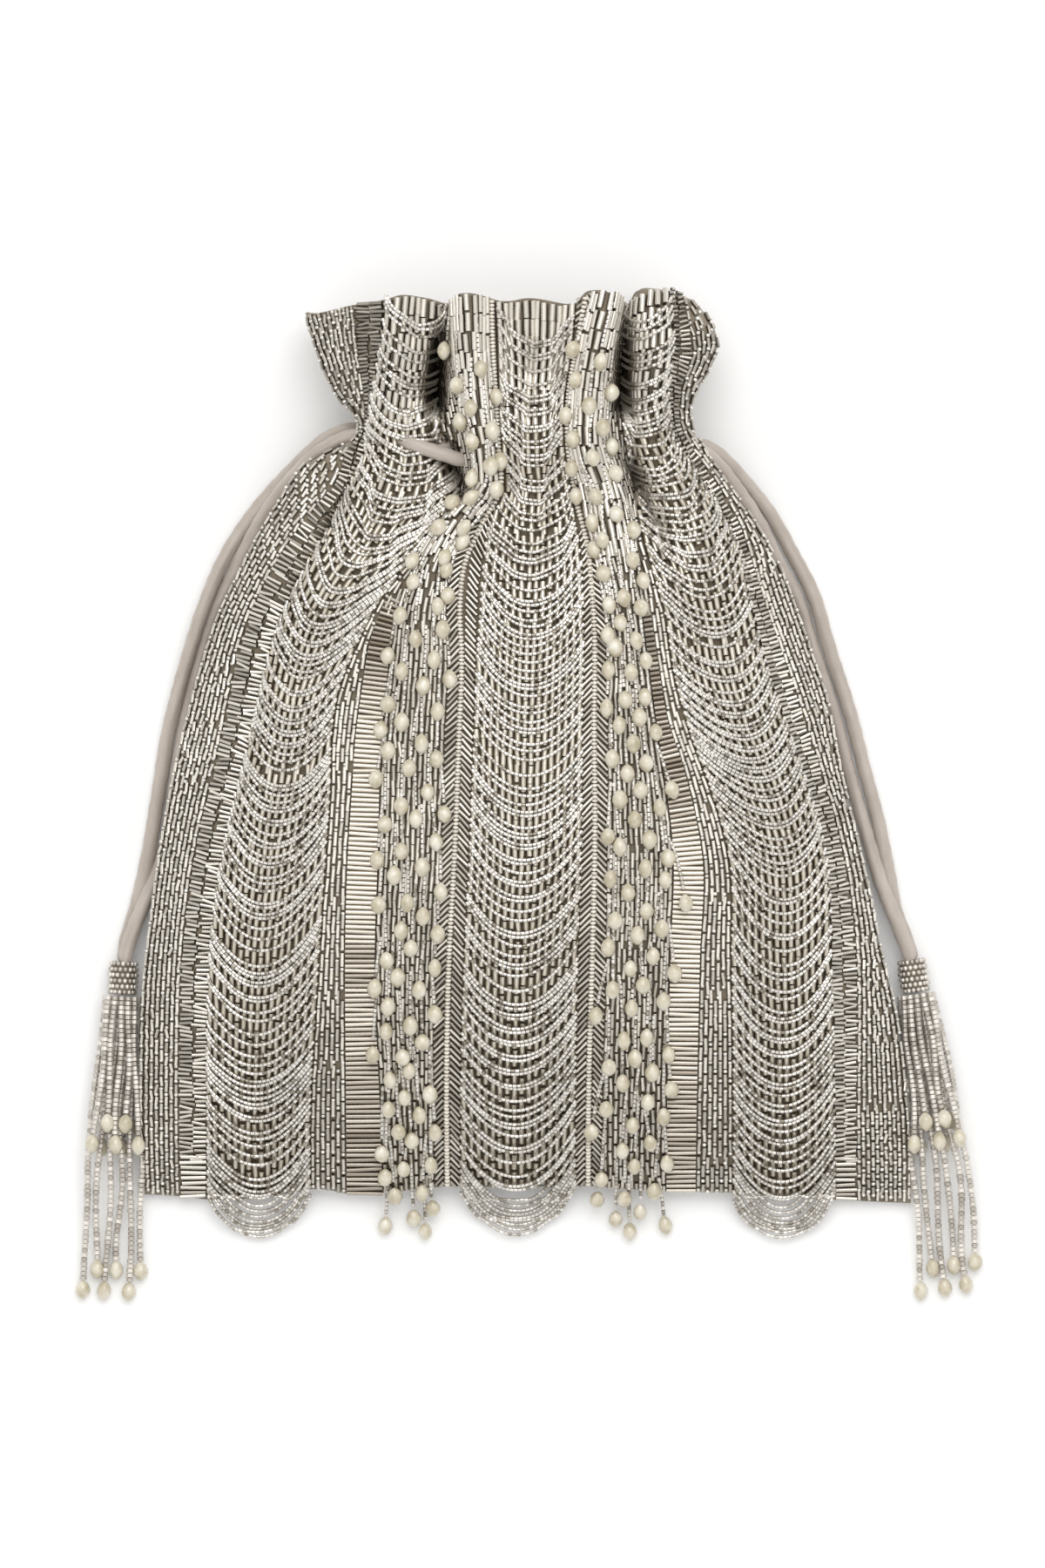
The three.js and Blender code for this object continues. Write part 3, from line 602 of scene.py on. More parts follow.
# %% [markdown]
# Across the bag, the pouch is a lens of cloth: its seams lie low at the hem and rise toward the
# neck, and the front swells to 40 mm between them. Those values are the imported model's. The folds
# of the gathered neck are added to that as ridges and valleys along lines, each a bell-shaped
# curve across its line and a height that changes down the picture.

# %% Height of the front cloth
NECK_HEIGHT = 204 * MM
MOUTH_FLARED = 238 * MM
HEM_DEPTH, BODY_DEPTH, NECK_DEPTH, MOUTH_DEPTH = 4.2 * MM, 40 * MM, 30 * MM, 34 * MM
NECK_LIFT = 2 * MM
HEM_ROLL_OFF = 9 * MM
FILLED_BY, SWELL_POWER = 0.5, 2.2
GATHER_FROM, GATHER_TO = 0.72, 0.93
HEM_SEAM, BODY_SEAM, SEAM_SETTLES = 0.5, 0.27, 0.15
BODY_FULLNESS, NECK_FULLNESS, MOUTH_FULLNESS = 2, 3.5, 2.6
FLAT_SHARE = 0.5

FOLDS = [
    ("left ridge", [(343, 541), (400, 541), (460, 546), (520, 556), (560, 558), (610, 516),
                    (640, 501), (700, 486), (800, 478)], 17,
     [(343, 5.0), (480, 5.5), (560, 5.0), (620, 4.0), (700, 2.2), (800, 0.6), (860, 0.0)]),
    ("left valley", [(343, 512), (400, 503), (450, 499), (500, 502), (540, 520), (580, 540)], 13,
     [(335, -2.0), (375, -6.5), (415, -16.0), (462, -15.0), (481, -3.2), (502, -3.4), (516, -11.0),
      (545, -8.0), (590, 0.0)]),
    ("left lobe", [(343, 455), (400, 452), (460, 440), (500, 432)], 12,
     [(335, 2.5), (430, 2.5), (490, 1.5), (560, 0.0)]),
    ("left ruffle dip", [(343, 405), (400, 410), (460, 418), (500, 420)], 20,
     [(335, -3.5), (420, -3.0), (490, -1.0), (540, 0.0)]),
    ("centre valley", [(343, 614), (460, 612), (560, 615), (700, 612)], 34,
     [(335, -3.0), (400, -4.5), (450, -3.5), (478, -0.6), (525, -0.6), (560, -2.2), (700, 0.0)]),
    ("right ridge", [(343, 697), (400, 684), (460, 675), (520, 675), (560, 690), (600, 699),
                     (650, 712), (720, 722), (800, 732)], 17,
     [(335, 5.0), (480, 5.5), (560, 4.5), (640, 3.0), (720, 1.4), (800, 0.0)]),
    ("right valley", [(343, 720), (400, 718), (460, 716), (520, 722), (580, 742), (640, 762)], 13,
     [(335, -3.0), (380, -8.0), (430, -13.0), (466, -11.0), (482, -3.5), (516, -3.5), (540, -8.0),
      (590, -5.0), (640, 0.0)]),
    ("right lobe", [(343, 752), (400, 752), (460, 748), (520, 758), (600, 790), (700, 815)], 20,
     [(335, 2.5), (430, 3.0), (520, 2.0), (620, 1.2), (760, 0.0)]),
    ("right shoulder crease", [(470, 785), (520, 792), (580, 822), (660, 862), (780, 895),
                               (900, 930), (1050, 962), (1380, 972)], 12,
     [(460, -1.5), (520, -2.6), (640, -2.2), (800, -1.6), (1100, -1.2), (1380, -0.8)]),
    ("right shoulder fold", [(470, 800), (520, 806), (580, 838), (660, 880), (780, 915),
                             (900, 950), (1050, 985), (1380, 1000)], 12,
     [(460, 0.8), (520, 1.6), (640, 1.6), (900, 1.2), (1380, 0.8)]),
    ("left shoulder crease", [(490, 424), (520, 420), (560, 404), (620, 372), (700, 330),
                              (850, 289), (1000, 255), (1380, 237)], 9,
     [(480, -1.0), (540, -2.2), (700, -1.8), (1000, -1.2), (1380, -0.9)]),
]
folds = [(smooth_graph(line), width, smooth_graph(heights)) for _, line, width, heights in FOLDS]


def section(y):
    """Heights of the back, side seam and front across the bag at y, and the front's roundness."""
    y = np.maximum(y + HEM_BELOW_ORIGIN, 0)
    t = y / NECK_HEIGHT
    swell = 1 - (1 - np.minimum(t / FILLED_BY, 1)) ** SWELL_POWER
    near_neck = ease(t, GATHER_FROM, GATHER_TO)
    flare = ease(y, NECK_HEIGHT, MOUTH_FLARED)
    depth = blend(blend(blend(HEM_DEPTH, BODY_DEPTH, swell), NECK_DEPTH, near_neck), MOUTH_DEPTH, flare)
    low = NECK_LIFT * near_neck * (1 - flare)
    seam_share = blend(blend(HEM_SEAM, BODY_SEAM, ease(t, 0, SEAM_SETTLES)), HEM_SEAM, near_neck)
    power = blend(blend(BODY_FULLNESS, NECK_FULLNESS, near_neck), MOUTH_FULLNESS, flare)
    return low, low + depth * seam_share, low + depth, power, near_neck


def side_share(x, y):
    """How far x lies from the bag's middle line at y, from -1 at the left edge to 1 at the right."""
    px, py = picture_place(x, y)
    left, right = seams["edge_left"](py), seams["edge_right"](py)
    return np.clip((2 * px - left - right) / (right - left), -1, 1), px, py


def fold_height(px, py):
    """Height that the gathered folds add at a picture place: a bell-shaped curve across each line."""
    return sum(height(py) * np.exp(-((px - line(py)) / width) ** 2) for line, width, height in folds)


def front_height(x, y):
    """Front cloth: seam + rise * (1 - |share|^power)^(1/power), plus its folds, rolled off at the hem."""
    share, px, py = side_share(x, y)
    _, seam, high, power, near_neck = section(y)
    arch = (1 - np.abs(share) ** power) ** (1 / power)
    fold = fold_height(px, py) + 0.5 * near_neck * np.sin(0.19 * px + 0.02 * py)
    z = seam + (high - seam) * arch + fold * MM * (1 - share**8)
    past_hem = ease(upward(hem_row(px)) - y, 0, HEM_ROLL_OFF)
    return z * (1 - past_hem)


def fold_painted_shade(px, py):
    """Painted shade: the share of a bead's tone kept at a picture place, 1, and less where a fold is deep.
    """
    depth = sum(np.maximum(-height(py), 0) * np.exp(-((px - line(py)) / (1.4 * width)) ** 2)
                for line, width, height in folds)
    return 1 - 0.95 * np.clip((depth - 4) / 5, 0, 1)


def back_height(x, y):
    """Back cloth: flat where it lies on the table, and up to the seam toward both sides."""
    share, _, _ = side_share(x, y)
    low, seam, _, power, near_neck = section(y)
    arch = (1 - np.abs(share) ** power) ** (1 / power)
    flat = 1 - np.clip((np.abs(share) - FLAT_SHARE) / (1 - FLAT_SHARE), 0, 1) ** 2
    return seam - (seam - low) * blend(flat, arch, near_neck)


def on_front(x, y, lift):
    """Points over the front cloth, lifted along its normal, with the normals there."""
    step = 0.4 * MM
    slope_x = (front_height(x + step, y) - front_height(x - step, y)) / (2 * step)
    slope_y = (front_height(x, y + step) - front_height(x, y - step)) / (2 * step)
    normal = np.stack([-slope_x, -slope_y, np.ones_like(slope_x)], axis=-1)
    normal /= np.linalg.norm(normal, axis=-1, keepdims=True)
    points = np.stack([x, y, front_height(x, y)], axis=-1)
    return points + normal * np.asarray(lift)[..., None], normal


# %% [markdown]
# The two outer cloths are grids over the outline: one parameter runs from the left edge to the
# right, the other from the hem up to the wavy edge of the ruffle. Solidify gives the cloth its
# thickness inward. Both are sheets, gathered at the neck. They were cut about as wide as the hem.

# %% Front and back cloth
CLOTH_THICKNESS = 0.8 * MM
RUFFLE_ROW = 345
HEM_COLUMNS = (160.0, 1047.0)


def cloth_grid(rows, columns, top_lift):
    """x and y of a grid on the outline. Rows gather toward hem and edge, where the shape turns."""
    share = np.sin(np.linspace(-0.5, 0.5, columns) * math.pi * 0.999)[None, :]
    share = blend(share, np.linspace(-1, 1, columns)[None, :], 0.35)
    reference = blend(seams["edge_left"](RUFFLE_ROW), seams["edge_right"](RUFFLE_ROW), (share + 1) / 2)
    top = top_row(reference) - top_lift
    v = np.linspace(0, 1, rows)[:, None] ** 0.9
    column = blend(*HEM_COLUMNS, (share + 1) / 2)
    py = blend(hem_row(column), top, v)
    px = blend(seams["edge_left"](py), seams["edge_right"](py), (share + 1) / 2)
    return across(px), upward(py)


def thicken(piece, thickness):
    """A Solidify modifier that adds the thickness behind the faces and closes the rim."""
    modifier = piece.modifiers.new("thickness", "SOLIDIFY")
    modifier.thickness = thickness
    modifier.offset = -1.0
    modifier.use_rim = True


FRONT_GRID = (190, 150)
BACK_GRID = (110, 80)
x, y = cloth_grid(*FRONT_GRID, 0.0)
front = new_piece("front_cloth", np.stack([x, y, front_height(x, y)], axis=-1).reshape(-1, 3),
                  [grid_quads(*FRONT_GRID)], ground_cloth, replaces=["front_panel"])
x, y = cloth_grid(*BACK_GRID, 2.0)
back_rim = 0.7 * MM * (1 + np.sin(x / (4.5 * MM))) * ease(y, 0.100, 0.125)
back = new_piece("back_cloth", np.stack([x, y, back_height(x, y) + back_rim], axis=-1).reshape(-1, 3),
                 [grid_quads(*BACK_GRID)[:, ::-1]], back_cloth_finish,
                 replaces=["back_panel"])
for cloth in (front, back):
    thicken(cloth, CLOTH_THICKNESS)

# %% [markdown]
# The lining is a pouch of satin inside the other two. It is one closed loop of cloth at every
# height, a little inside the outer cloths, and further inside along the drawstrings' channel. Its
# bottom lies flat and shut, above the hem.

# %% Lining
LINING_GRID = (90, 120)
LINING_BOTTOM = -0.100
LINING_INSET, CHANNEL_INSET = 1.6 * MM, 6.2 * MM
CHANNEL_MIDDLE, CHANNEL_HALF, CHANNEL_RAMP = 87.4 * MM, 5.4 * MM, 6 * MM


def lining_points(rows, columns):
    """Loops of x = middle + half * cos, between front and back heights less the inset."""
    angle = np.linspace(0, 2 * math.pi, columns, endpoint=False)[None, :]
    reference = blend(seams["edge_left"](RUFFLE_ROW), seams["edge_right"](RUFFLE_ROW),
                      (np.cos(angle) + 1) / 2)
    top = upward(top_row(reference)) - 0.6 * MM
    y = blend(LINING_BOTTOM, top, np.linspace(0, 1, rows)[:, None])
    _, py = picture_place(0.0, y)
    left = across(seams["edge_left"](py)) + LINING_INSET
    right = across(seams["edge_right"](py)) - LINING_INSET
    x = blend(left, right, (np.cos(angle) + 1) / 2)
    channel = 1 - ease(np.abs(y - CHANNEL_MIDDLE), CHANNEL_HALF, CHANNEL_HALF + CHANNEL_RAMP)
    inset = blend(LINING_INSET, CHANNEL_INSET, channel) + 0.3 * MM
    _, seam, _, _, _ = section(y)
    shut = ease(y, LINING_BOTTOM, LINING_BOTTOM + 6 * MM)
    above = np.maximum(front_height(x, y) - inset - seam, 0.3 * MM) * shut
    below = np.maximum(seam - back_height(x, y) - inset, 0.3 * MM) * shut
    z = seam + np.where(np.sin(angle) >= 0, above, -below) * np.minimum(np.abs(np.sin(angle)) * 4, 1)
    return np.stack([x, y, z], axis=-1).reshape(-1, 3)


lining = new_piece("satin_lining", lining_points(*LINING_GRID),
                   [grid_quads(*LINING_GRID, closed=True)[:, ::-1]], lining_satin,
                   replaces=["lining"])
thicken(lining, 0.4 * MM)

# %% [markdown]
# All beads are copies of three small shapes: a six-sided bugle, a six-sided seed bead and a rice
# pearl. Each is a few rings between two poles along its thread. One function places thousands of
# copies at once: a copy's points are its middle, plus the shape stretched along the bead's own
# three directions.

# %% Bead shapes
def ringed_shape(rings, sides, start=0.0):
    """Rings of (height, radius) between poles at the first and last height, along +Z."""
    angle = start + np.linspace(0, 2 * math.pi, sides, endpoint=False)
    body = [(radius * math.cos(a), radius * math.sin(a), height)
            for height, radius in rings[1:-1] for a in angle]
    points = np.array([*body, (0, 0, rings[0][0]), (0, 0, rings[-1][0])])
    quads = grid_quads(len(rings) - 2, sides, closed=True)
    here = np.arange(sides)
    after = (here + 1) % sides
    last = (len(rings) - 3) * sides
    low, high = len(points) - 2, len(points) - 1
    caps = np.vstack([np.column_stack([np.full(sides, low), after, here]),
                      np.column_stack([np.full(sides, high), last + here, last + after])])
    halves = np.vstack([quads[:, [0, 1, 2]], quads[:, [0, 2, 3]]])
    return points, np.vstack([halves, caps])


BUGLE = ringed_shape([(-0.5, 0), (-0.5, 1.0), (0.5, 1.0), (0.5, 0)], 6, math.pi / 6)
SEED = ringed_shape([(-0.5, 0), (-0.41, 0.95), (0.41, 0.95), (0.5, 0)], 6)
ROUND_SEED = ringed_shape([(-0.5, 0), (-0.3, 0.85), (0.0, 1.0), (0.3, 0.85), (0.5, 0)], 6)
PEARL = ringed_shape([(-0.5, 0), (-0.45, 0.30), (-0.32, 0.70), (-0.12, 0.96), (0.10, 1.0), (0.30, 0.74),
                      (0.45, 0.34), (0.5, 0)], 9)
SHARP_ANGLE = math.radians(75)
# Tone share at each point of a bugle, full along its upper side and none at the sides: partly the silver
# lining, partly a painted highlight on top and painted shade at the sides.
BUGLE_LINING_AND_HIGHLIGHT = np.clip(BUGLE[0][:, 1], 0, 1) * (np.hypot(*BUGLE[0][:, :2].T) > 0.5)


class Beads:
    """Beads of one piece, gathered batch by batch: middles, directions, sizes and tones."""

    def __init__(self):
        self.batches = []

    def add(self, middle, along, up, length, radius, tone):
        """One batch. along is each bead's thread direction and up the side turned to the viewer."""
        count = len(middle)
        along = along / np.linalg.norm(along, axis=-1, keepdims=True)
        side = np.cross(up, along)
        side = side / np.linalg.norm(side, axis=-1, keepdims=True)
        up = np.cross(along, side)
        sizes = [np.broadcast_to(np.asarray(value, float), (count,)) for value in (length, radius, tone)]
        self.batches.append((middle, along, side, up, *sizes))

    def count(self):
        return sum(len(batch[0]) for batch in self.batches)

    def piece(self, name, shape, material, slot, replaces=(), core=None):
        """The mesh: middle + side * x * radius + up * y * radius + along * z * length.

        core gives a share of the bead's tone to each point of the shape. On a bugle it makes a
        bright line along its upper side with darker sides: partly the silver lining, partly a
        painted highlight on top and painted shade at the sides.
        """
        middle, along, side, up, length, radius, tone = (np.concatenate(p) for p in zip(*self.batches))
        local, faces = shape
        points = (middle[:, None, :]
                  + side[:, None, :] * (local[None, :, 0] * radius[:, None])[..., None]
                  + up[:, None, :] * (local[None, :, 1] * radius[:, None])[..., None]
                  + along[:, None, :] * (local[None, :, 2] * length[:, None])[..., None])
        offsets = np.arange(len(middle)) * len(local)
        all_faces = (faces[None] + offsets[:, None, None]).reshape(-1, 3)
        shares = np.ones(len(local)) if core is None else core
        made = new_piece(name, points.reshape(-1, 3), [all_faces], material,
                         {"tone": (tone[:, None] * shares).ravel()}, replaces=replaces)
        made.data.set_sharp_from_angle(angle=SHARP_ANGLE)
        return made


def roll(along, up, angle):
    """up turned round along by an angle, so that each bead shows another facet."""
    side = np.cross(along, up)
    return up * np.cos(angle)[:, None] + side * np.sin(angle)[:, None]


# %% [markdown]
# Sewn beads follow the seams. In a column between two seams, a bead has a share across and a row
# down the picture, and its thread runs along the flow of the seams there, or leans from it by a
# given angle. A narrow place holds fewer beads in a row than a wide one, as the gathered cloth does.

# %% Rows of sewn bugles
rng = np.random.default_rng(20)
RUFFLE_TOP, HEM_ROW = 341, 1372
RUFFLE_END, HEM_BEND_FROM = 470, 1250
# Painted shade over the ruffle: the tone of its beads falls to about two thirds above row 540.
RUFFLE_PAINTED_SHADE = smooth_graph([(340, 0.66), (460, 0.72), (540, 1.0), (1400, 1.0)])


def in_column(left, right, share, py):
    """x and y at a share of the way across between two seams, at a picture row."""
    px = blend(seams[left](py), seams[right](py), share)
    return across(px), upward(py)


def flow(left, right, share, py):
    """Unit direction down the column at constant share, as (dx, dy) on the table."""
    x0, y0 = in_column(left, right, share, py - 2)
    x1, y1 = in_column(left, right, share, py + 2)
    dx, dy = x1 - x0, y1 - y0
    size = np.hypot(dx, dy)
    return dx / size, dy / size


def follow_edges(left, right, share, py):
    """Rows near the ruffle's edge and the hem are moved to run along those wavy edges."""
    px = blend(seams[left](py), seams[right](py), share)
    top_shift = (top_row(px) - RUFFLE_TOP) * (1 - ease(py, RUFFLE_TOP, RUFFLE_END))
    return py + top_shift + (hem_row(px) - HEM_ROW) * ease(py, HEM_BEND_FROM, HEM_ROW)


def sew(beads, left, right, share, py, lean, length, radius, tone, lift=None, turn=0.0):
    """Sews beads on the front: lean 0 lies down the column's flow, 90 degrees across it.

    What would reach past the ruffle's edge or the hem is a shorter bead that ends there.
    """
    py = follow_edges(left, right, share, py)
    x, y = in_column(left, right, share, py)
    spread = lambda values: np.broadcast_to(np.asarray(values, float), x.shape)
    lean, length, radius, tone = (spread(values) for values in (lean, length, radius, tone))
    dx, dy = flow(left, right, share, py)
    ax, ay = dx * np.cos(lean) - dy * np.sin(lean), dx * np.sin(lean) + dy * np.cos(lean)
    px, _ = picture_place(x, y)
    reach = 0.5 * np.abs(ay) * length + 0.3 * radius
    over = np.maximum(y + reach - upward(top_row(px)), 0)
    under = np.maximum(upward(hem_row(px)) - y + reach, 0)
    moved = 0.5 * (under - over)
    x, y = x + ax / ay * moved * (np.abs(ay) > 0.5), y + moved
    length = length - (over + under) / np.maximum(np.abs(ay), 0.5)
    keep = length > np.maximum(0.35 * (length + over + under), 1.1 * radius)
    x, y, ax, ay, length, radius, tone = (v[keep] for v in (x, y, ax, ay, length, radius, tone))
    step = 0.3 * MM
    rise = (front_height(x + ax * step, y + ay * step) - front_height(x - ax * step, y - ay * step))
    along = np.stack([ax, ay, rise / (2 * step)], axis=-1)
    middle, normal = on_front(x, y, radius if lift is None else lift)
    # Painted shade: beads in deep folds get a darker tone.
    tone = tone * fold_painted_shade(*picture_place(x, y))
    if turn:
        along /= np.linalg.norm(along, axis=-1, keepdims=True)
        normal = roll(along, normal, rng.uniform(-turn, turn, len(x)))
    beads.add(middle, along, normal, length, radius, tone)


def rows_of(left, right, top, bottom, pitch, row, stagger=0.5):
    """Places of beads in rows, with every second one lowered by a share of the row.

    The beads of a row are spaced evenly along the cloth itself, up and down its folds. The
    cloth's length from seam to seam is added up over 24 short steps. A wide row holds an even
    number of beads, so that its lanes change less often from row to row.
    """
    heights = np.arange(top - 0.5 * row / PIXEL, bottom + row / PIXEL, row / PIXEL)
    steps = np.linspace(0, 1, 25)
    px = blend(seams[left](heights[:, None]), seams[right](heights[:, None]), steps[None, :])
    rise = np.diff(fold_height(px, heights[:, None]), axis=1) * MM
    gone = np.hypot(np.diff(px, axis=1) * PIXEL, rise).cumsum(axis=1)
    gone = np.column_stack([np.zeros(len(heights)), gone])
    counts = np.round(gone[:, -1] / pitch).astype(int).clip(1)
    counts = np.where(counts > 9, 2 * np.round(gone[:, -1] / pitch / 2).astype(int), counts)
    share = np.concatenate([np.interp((np.arange(n) + 0.5) / n * gone[k, -1], gone[k], steps)
                            for k, n in enumerate(counts)])
    place = np.concatenate([np.arange(n) for n in counts])
    return share, np.repeat(heights, counts) + (place % 2) * stagger * row / PIXEL


def bugle_rows(beads, left, right, top, bottom, pitch, row, radius, tones, fill=0.86, wobble=0.05,
               stagger=0.5, turn=0.25, dimming=None):
    """Rows of bugles that run down a column, with every second thread half a bugle lower.

    dimming is a graph from the picture row to a share of the tone.
    """
    share, py = rows_of(left, right, top, bottom, pitch, row, stagger)
    count = len(share)
    py = py + rng.normal(0, 0.03, count) * row / PIXEL
    tone = rng.uniform(*tones, count) * (1 if dimming is None else dimming(py))
    sew(beads, left, right, share, py, rng.normal(0, wobble, count), fill * row, radius, tone, turn=turn)


def cross_bugles(beads, left, right, top, bottom, across_count, row, radius, tones, fill=0.9,
                 wobble=0.07, turn=0.25, stray=0.02):
    """Rows of bugles that lie across a column, a few side by side in each row."""
    heights = np.arange(top, bottom, row / PIXEL)
    place = np.tile(np.arange(across_count), len(heights))
    py = np.repeat(heights, across_count) + (place % 2) * 0.5 * row / PIXEL
    share = (place + 0.5) / across_count + rng.normal(0, stray, len(py))
    width = (seams[right](py) - seams[left](py)) * PIXEL
    # Painted shade over the ruffle darkens these bugles there.
    tone = rng.uniform(*tones, len(py)) * RUFFLE_PAINTED_SHADE(py)
    sew(beads, left, right, share, py, math.pi / 2 + rng.normal(0, wobble, len(py)),
        fill * width / across_count * rng.uniform(0.85, 1.1, len(py)), radius, tone, turn=turn)


# %% [markdown]
# Under each swag lies a ground of upright bugles in staggered rows, 1.8 mm apart with the brown
# cloth between them. The fringe columns have a finer ground. Both also show on the ridges and in
# the hollows of the ruffle.

# %% Grounds of the swags and of the fringes
SWAG_COLUMNS = {"left": ("short_left", "swag_left"), "centre": ("chevron_left", "swag_centre"),
                "right": ("brick_right", "swag_right")}
FRINGE_COLUMNS = {"left": ("long_left", "fringe_left"), "right": ("chevron_right", "fringe_right")}

LONG_FROM = 690
RIDGE_END, STRIP_END = 610, 590
GROUND_TONE = smooth_graph([(340, 0.9), (560, 0.9), (700, 1.0), (880, 1.0), (1050, 0.85), (1380, 0.7)])
swag_ground, ruffle_ground = Beads(), Beads()
for left, right in SWAG_COLUMNS.values():
    bugle_rows(ruffle_ground, left, right, RUFFLE_TOP, RUFFLE_END, 1.86 * MM, 4.9 * MM, 0.9 * MM,
               (0.7, 1.0), fill=0.97, wobble=0.02, stagger=0.06)
    bugle_rows(swag_ground, left, right, RUFFLE_END + 12, HEM_ROW, 1.8 * MM, 4.8 * MM, 0.84 * MM,
               (0.7, 1.0), fill=0.95, dimming=GROUND_TONE)
swag_ground.piece("swag_ground_bugles", BUGLE, olive_glass, "bugle_beadwork", core=BUGLE_LINING_AND_HIGHLIGHT**2)

fringe_ground = Beads()
for left, right in FRINGE_COLUMNS.values():
    bugle_rows(ruffle_ground, left, right, RUFFLE_TOP, RIDGE_END, 1.55 * MM, 4.9 * MM, 0.77 * MM,
               (0.75, 1.0), fill=0.97, wobble=0.02, stagger=0.12)
    bugle_rows(fringe_ground, left, right, RIDGE_END + 12, HEM_ROW, 1.3 * MM, 4.2 * MM, 0.62 * MM,
               (0.5, 1.0), fill=0.94)
ruffle_ground.piece("ruffle_bugles", BUGLE, silver_glass, "bugle_beadwork", core=BUGLE_LINING_AND_HIGHLIGHT**0.6)
for left, right, top, bottom in (("swag_left", "long_left", RUFFLE_TOP, STRIP_END),
                                 ("fringe_right", "brick_right", RUFFLE_TOP, STRIP_END),
                                 ("brick_left", "long_left", STRIP_END, LONG_FROM - 12),
                                 ("fringe_right", "long_right", STRIP_END, LONG_FROM - 12)):
    bugle_rows(fringe_ground, left, right, top, bottom, 1.25 * MM, 3.6 * MM, 0.6 * MM, (0.3, 0.8),
               fill=0.94)
fringe_ground.piece("fringe_ground_bugles", BUGLE, silver_glass, "bugle_beadwork",
                    core=BUGLE_LINING_AND_HIGHLIGHT)
print("ground bugles:", swag_ground.count() + fringe_ground.count())

# %% [markdown]
# Toward the sides lie four more kinds of column. The outer ones and the brick ones are woven-looking:
# short bugles down the column, with a seed bead between one bugle and the next. Beside the outer
# ones runs a strip of short bugles laid across. The long champagne bugles span their column.

# %% Outer, brick and short columns
OUTER_ROW, BRICK_ROW = 3.6 * MM, 4.9 * MM
BRICK_FROM = 600
outer_beads, outer_seeds = Beads(), Beads()
for left, right, top, pitch, row, radius, fill, wobble in (
        ("edge_left", "outer_left", RUFFLE_TOP, 1.24 * MM, OUTER_ROW, 0.57 * MM, 0.7, 0.10),
        ("short_right", "edge_right", RUFFLE_TOP, 1.24 * MM, OUTER_ROW, 0.57 * MM, 0.7, 0.10),
        ("swag_left", "brick_left", BRICK_FROM, 1.3 * MM, BRICK_ROW, 0.60 * MM, 0.74, 0.04),
        ("long_right", "brick_right", BRICK_FROM, 1.3 * MM, BRICK_ROW, 0.60 * MM, 0.74, 0.04)):
    # These rows get painted shade over the ruffle through the dimming graph.
    bugle_rows(outer_beads, left, right, top, HEM_ROW, pitch, row, radius, (0.5, 1.0), fill=fill,
               wobble=wobble, dimming=RUFFLE_PAINTED_SHADE)
    share, py = rows_of(left, right, top + 0.5 * row / PIXEL, HEM_ROW, pitch, row)
    count = len(share)
    sew(outer_seeds, left, right, share, py + rng.normal(0, 0.8, count), rng.normal(0, 0.2, count),
        1.1 * MM, 0.62 * MM, rng.uniform(0.5, 1.0, count), lift=0.75 * MM)
outer_beads.piece("outer_and_brick_bugles", BUGLE, silver_glass, "bugle_beadwork",
                  core=BUGLE_LINING_AND_HIGHLIGHT)
outer_seeds.piece("outer_seeds", ROUND_SEED, swag_glass, "bugle_beadwork")

short_beads = Beads()
SINGLE_FROM = 1325
for left, right in (("outer_left", "short_left"), ("swag_right", "short_right")):
    cross_bugles(short_beads, left, right, RUFFLE_TOP, SINGLE_FROM, 2, 1.12 * MM, 0.53 * MM, (0.3, 0.95),
                 fill=1.02, wobble=0.10, turn=0.5, stray=0.04)
    cross_bugles(short_beads, left, right, SINGLE_FROM, HEM_ROW, 1, 1.3 * MM, 0.6 * MM, (0.4, 1.0),
                 wobble=0.03)
short_beads.piece("short_cross_bugles", BUGLE, silver_glass, "bugle_beadwork", core=BUGLE_LINING_AND_HIGHLIGHT)

# %% Long champagne bugles
LONG_PITCH = 1.28 * MM
LONG_TONE_LEFT = [(680, 0.3), (725, 0.28), (765, 0.40), (800, 0.80), (850, 1.0), (1060, 1.0),
                  (1100, 0.55), (1160, 0.78), (1240, 0.58), (1300, 0.42), (1392, 0.70)]
LONG_TONE_RIGHT = [(680, 0.3), (830, 0.35), (860, 0.45), (905, 0.42), (940, 0.65), (960, 1.0),
                   (1080, 1.0), (1160, 0.85), (1250, 0.62), (1300, 0.48), (1392, 0.70)]
long_beads = Beads()
for left, right, tones in (("brick_left", "long_left", LONG_TONE_LEFT),
                           ("fringe_right", "long_right", LONG_TONE_RIGHT)):
    py = np.arange(LONG_FROM, HEM_ROW, LONG_PITCH / PIXEL)
    width = (seams[right](py) - seams[left](py)) * PIXEL
    py, width = py[width > 1.5 * MM], width[width > 1.5 * MM]
    tone = smooth_graph(tones)(py) + rng.normal(0, 0.13, len(py))
    sew(long_beads, left, right, np.full(len(py), 0.5), py, math.pi / 2 + rng.normal(0, 0.015, len(py)),
        0.97 * width, 0.62 * MM, tone.clip(0, 1))
long_beads.piece("long_champagne_bugles", BUGLE, champagne_glass, "bugle_beadwork", core=BUGLE_LINING_AND_HIGHLIGHT**0.7)

# %% [markdown]
# On both sides of the middle swag runs a chevron: two rows of slanting bugles that meet on a spine
# of tiny milky seed beads.

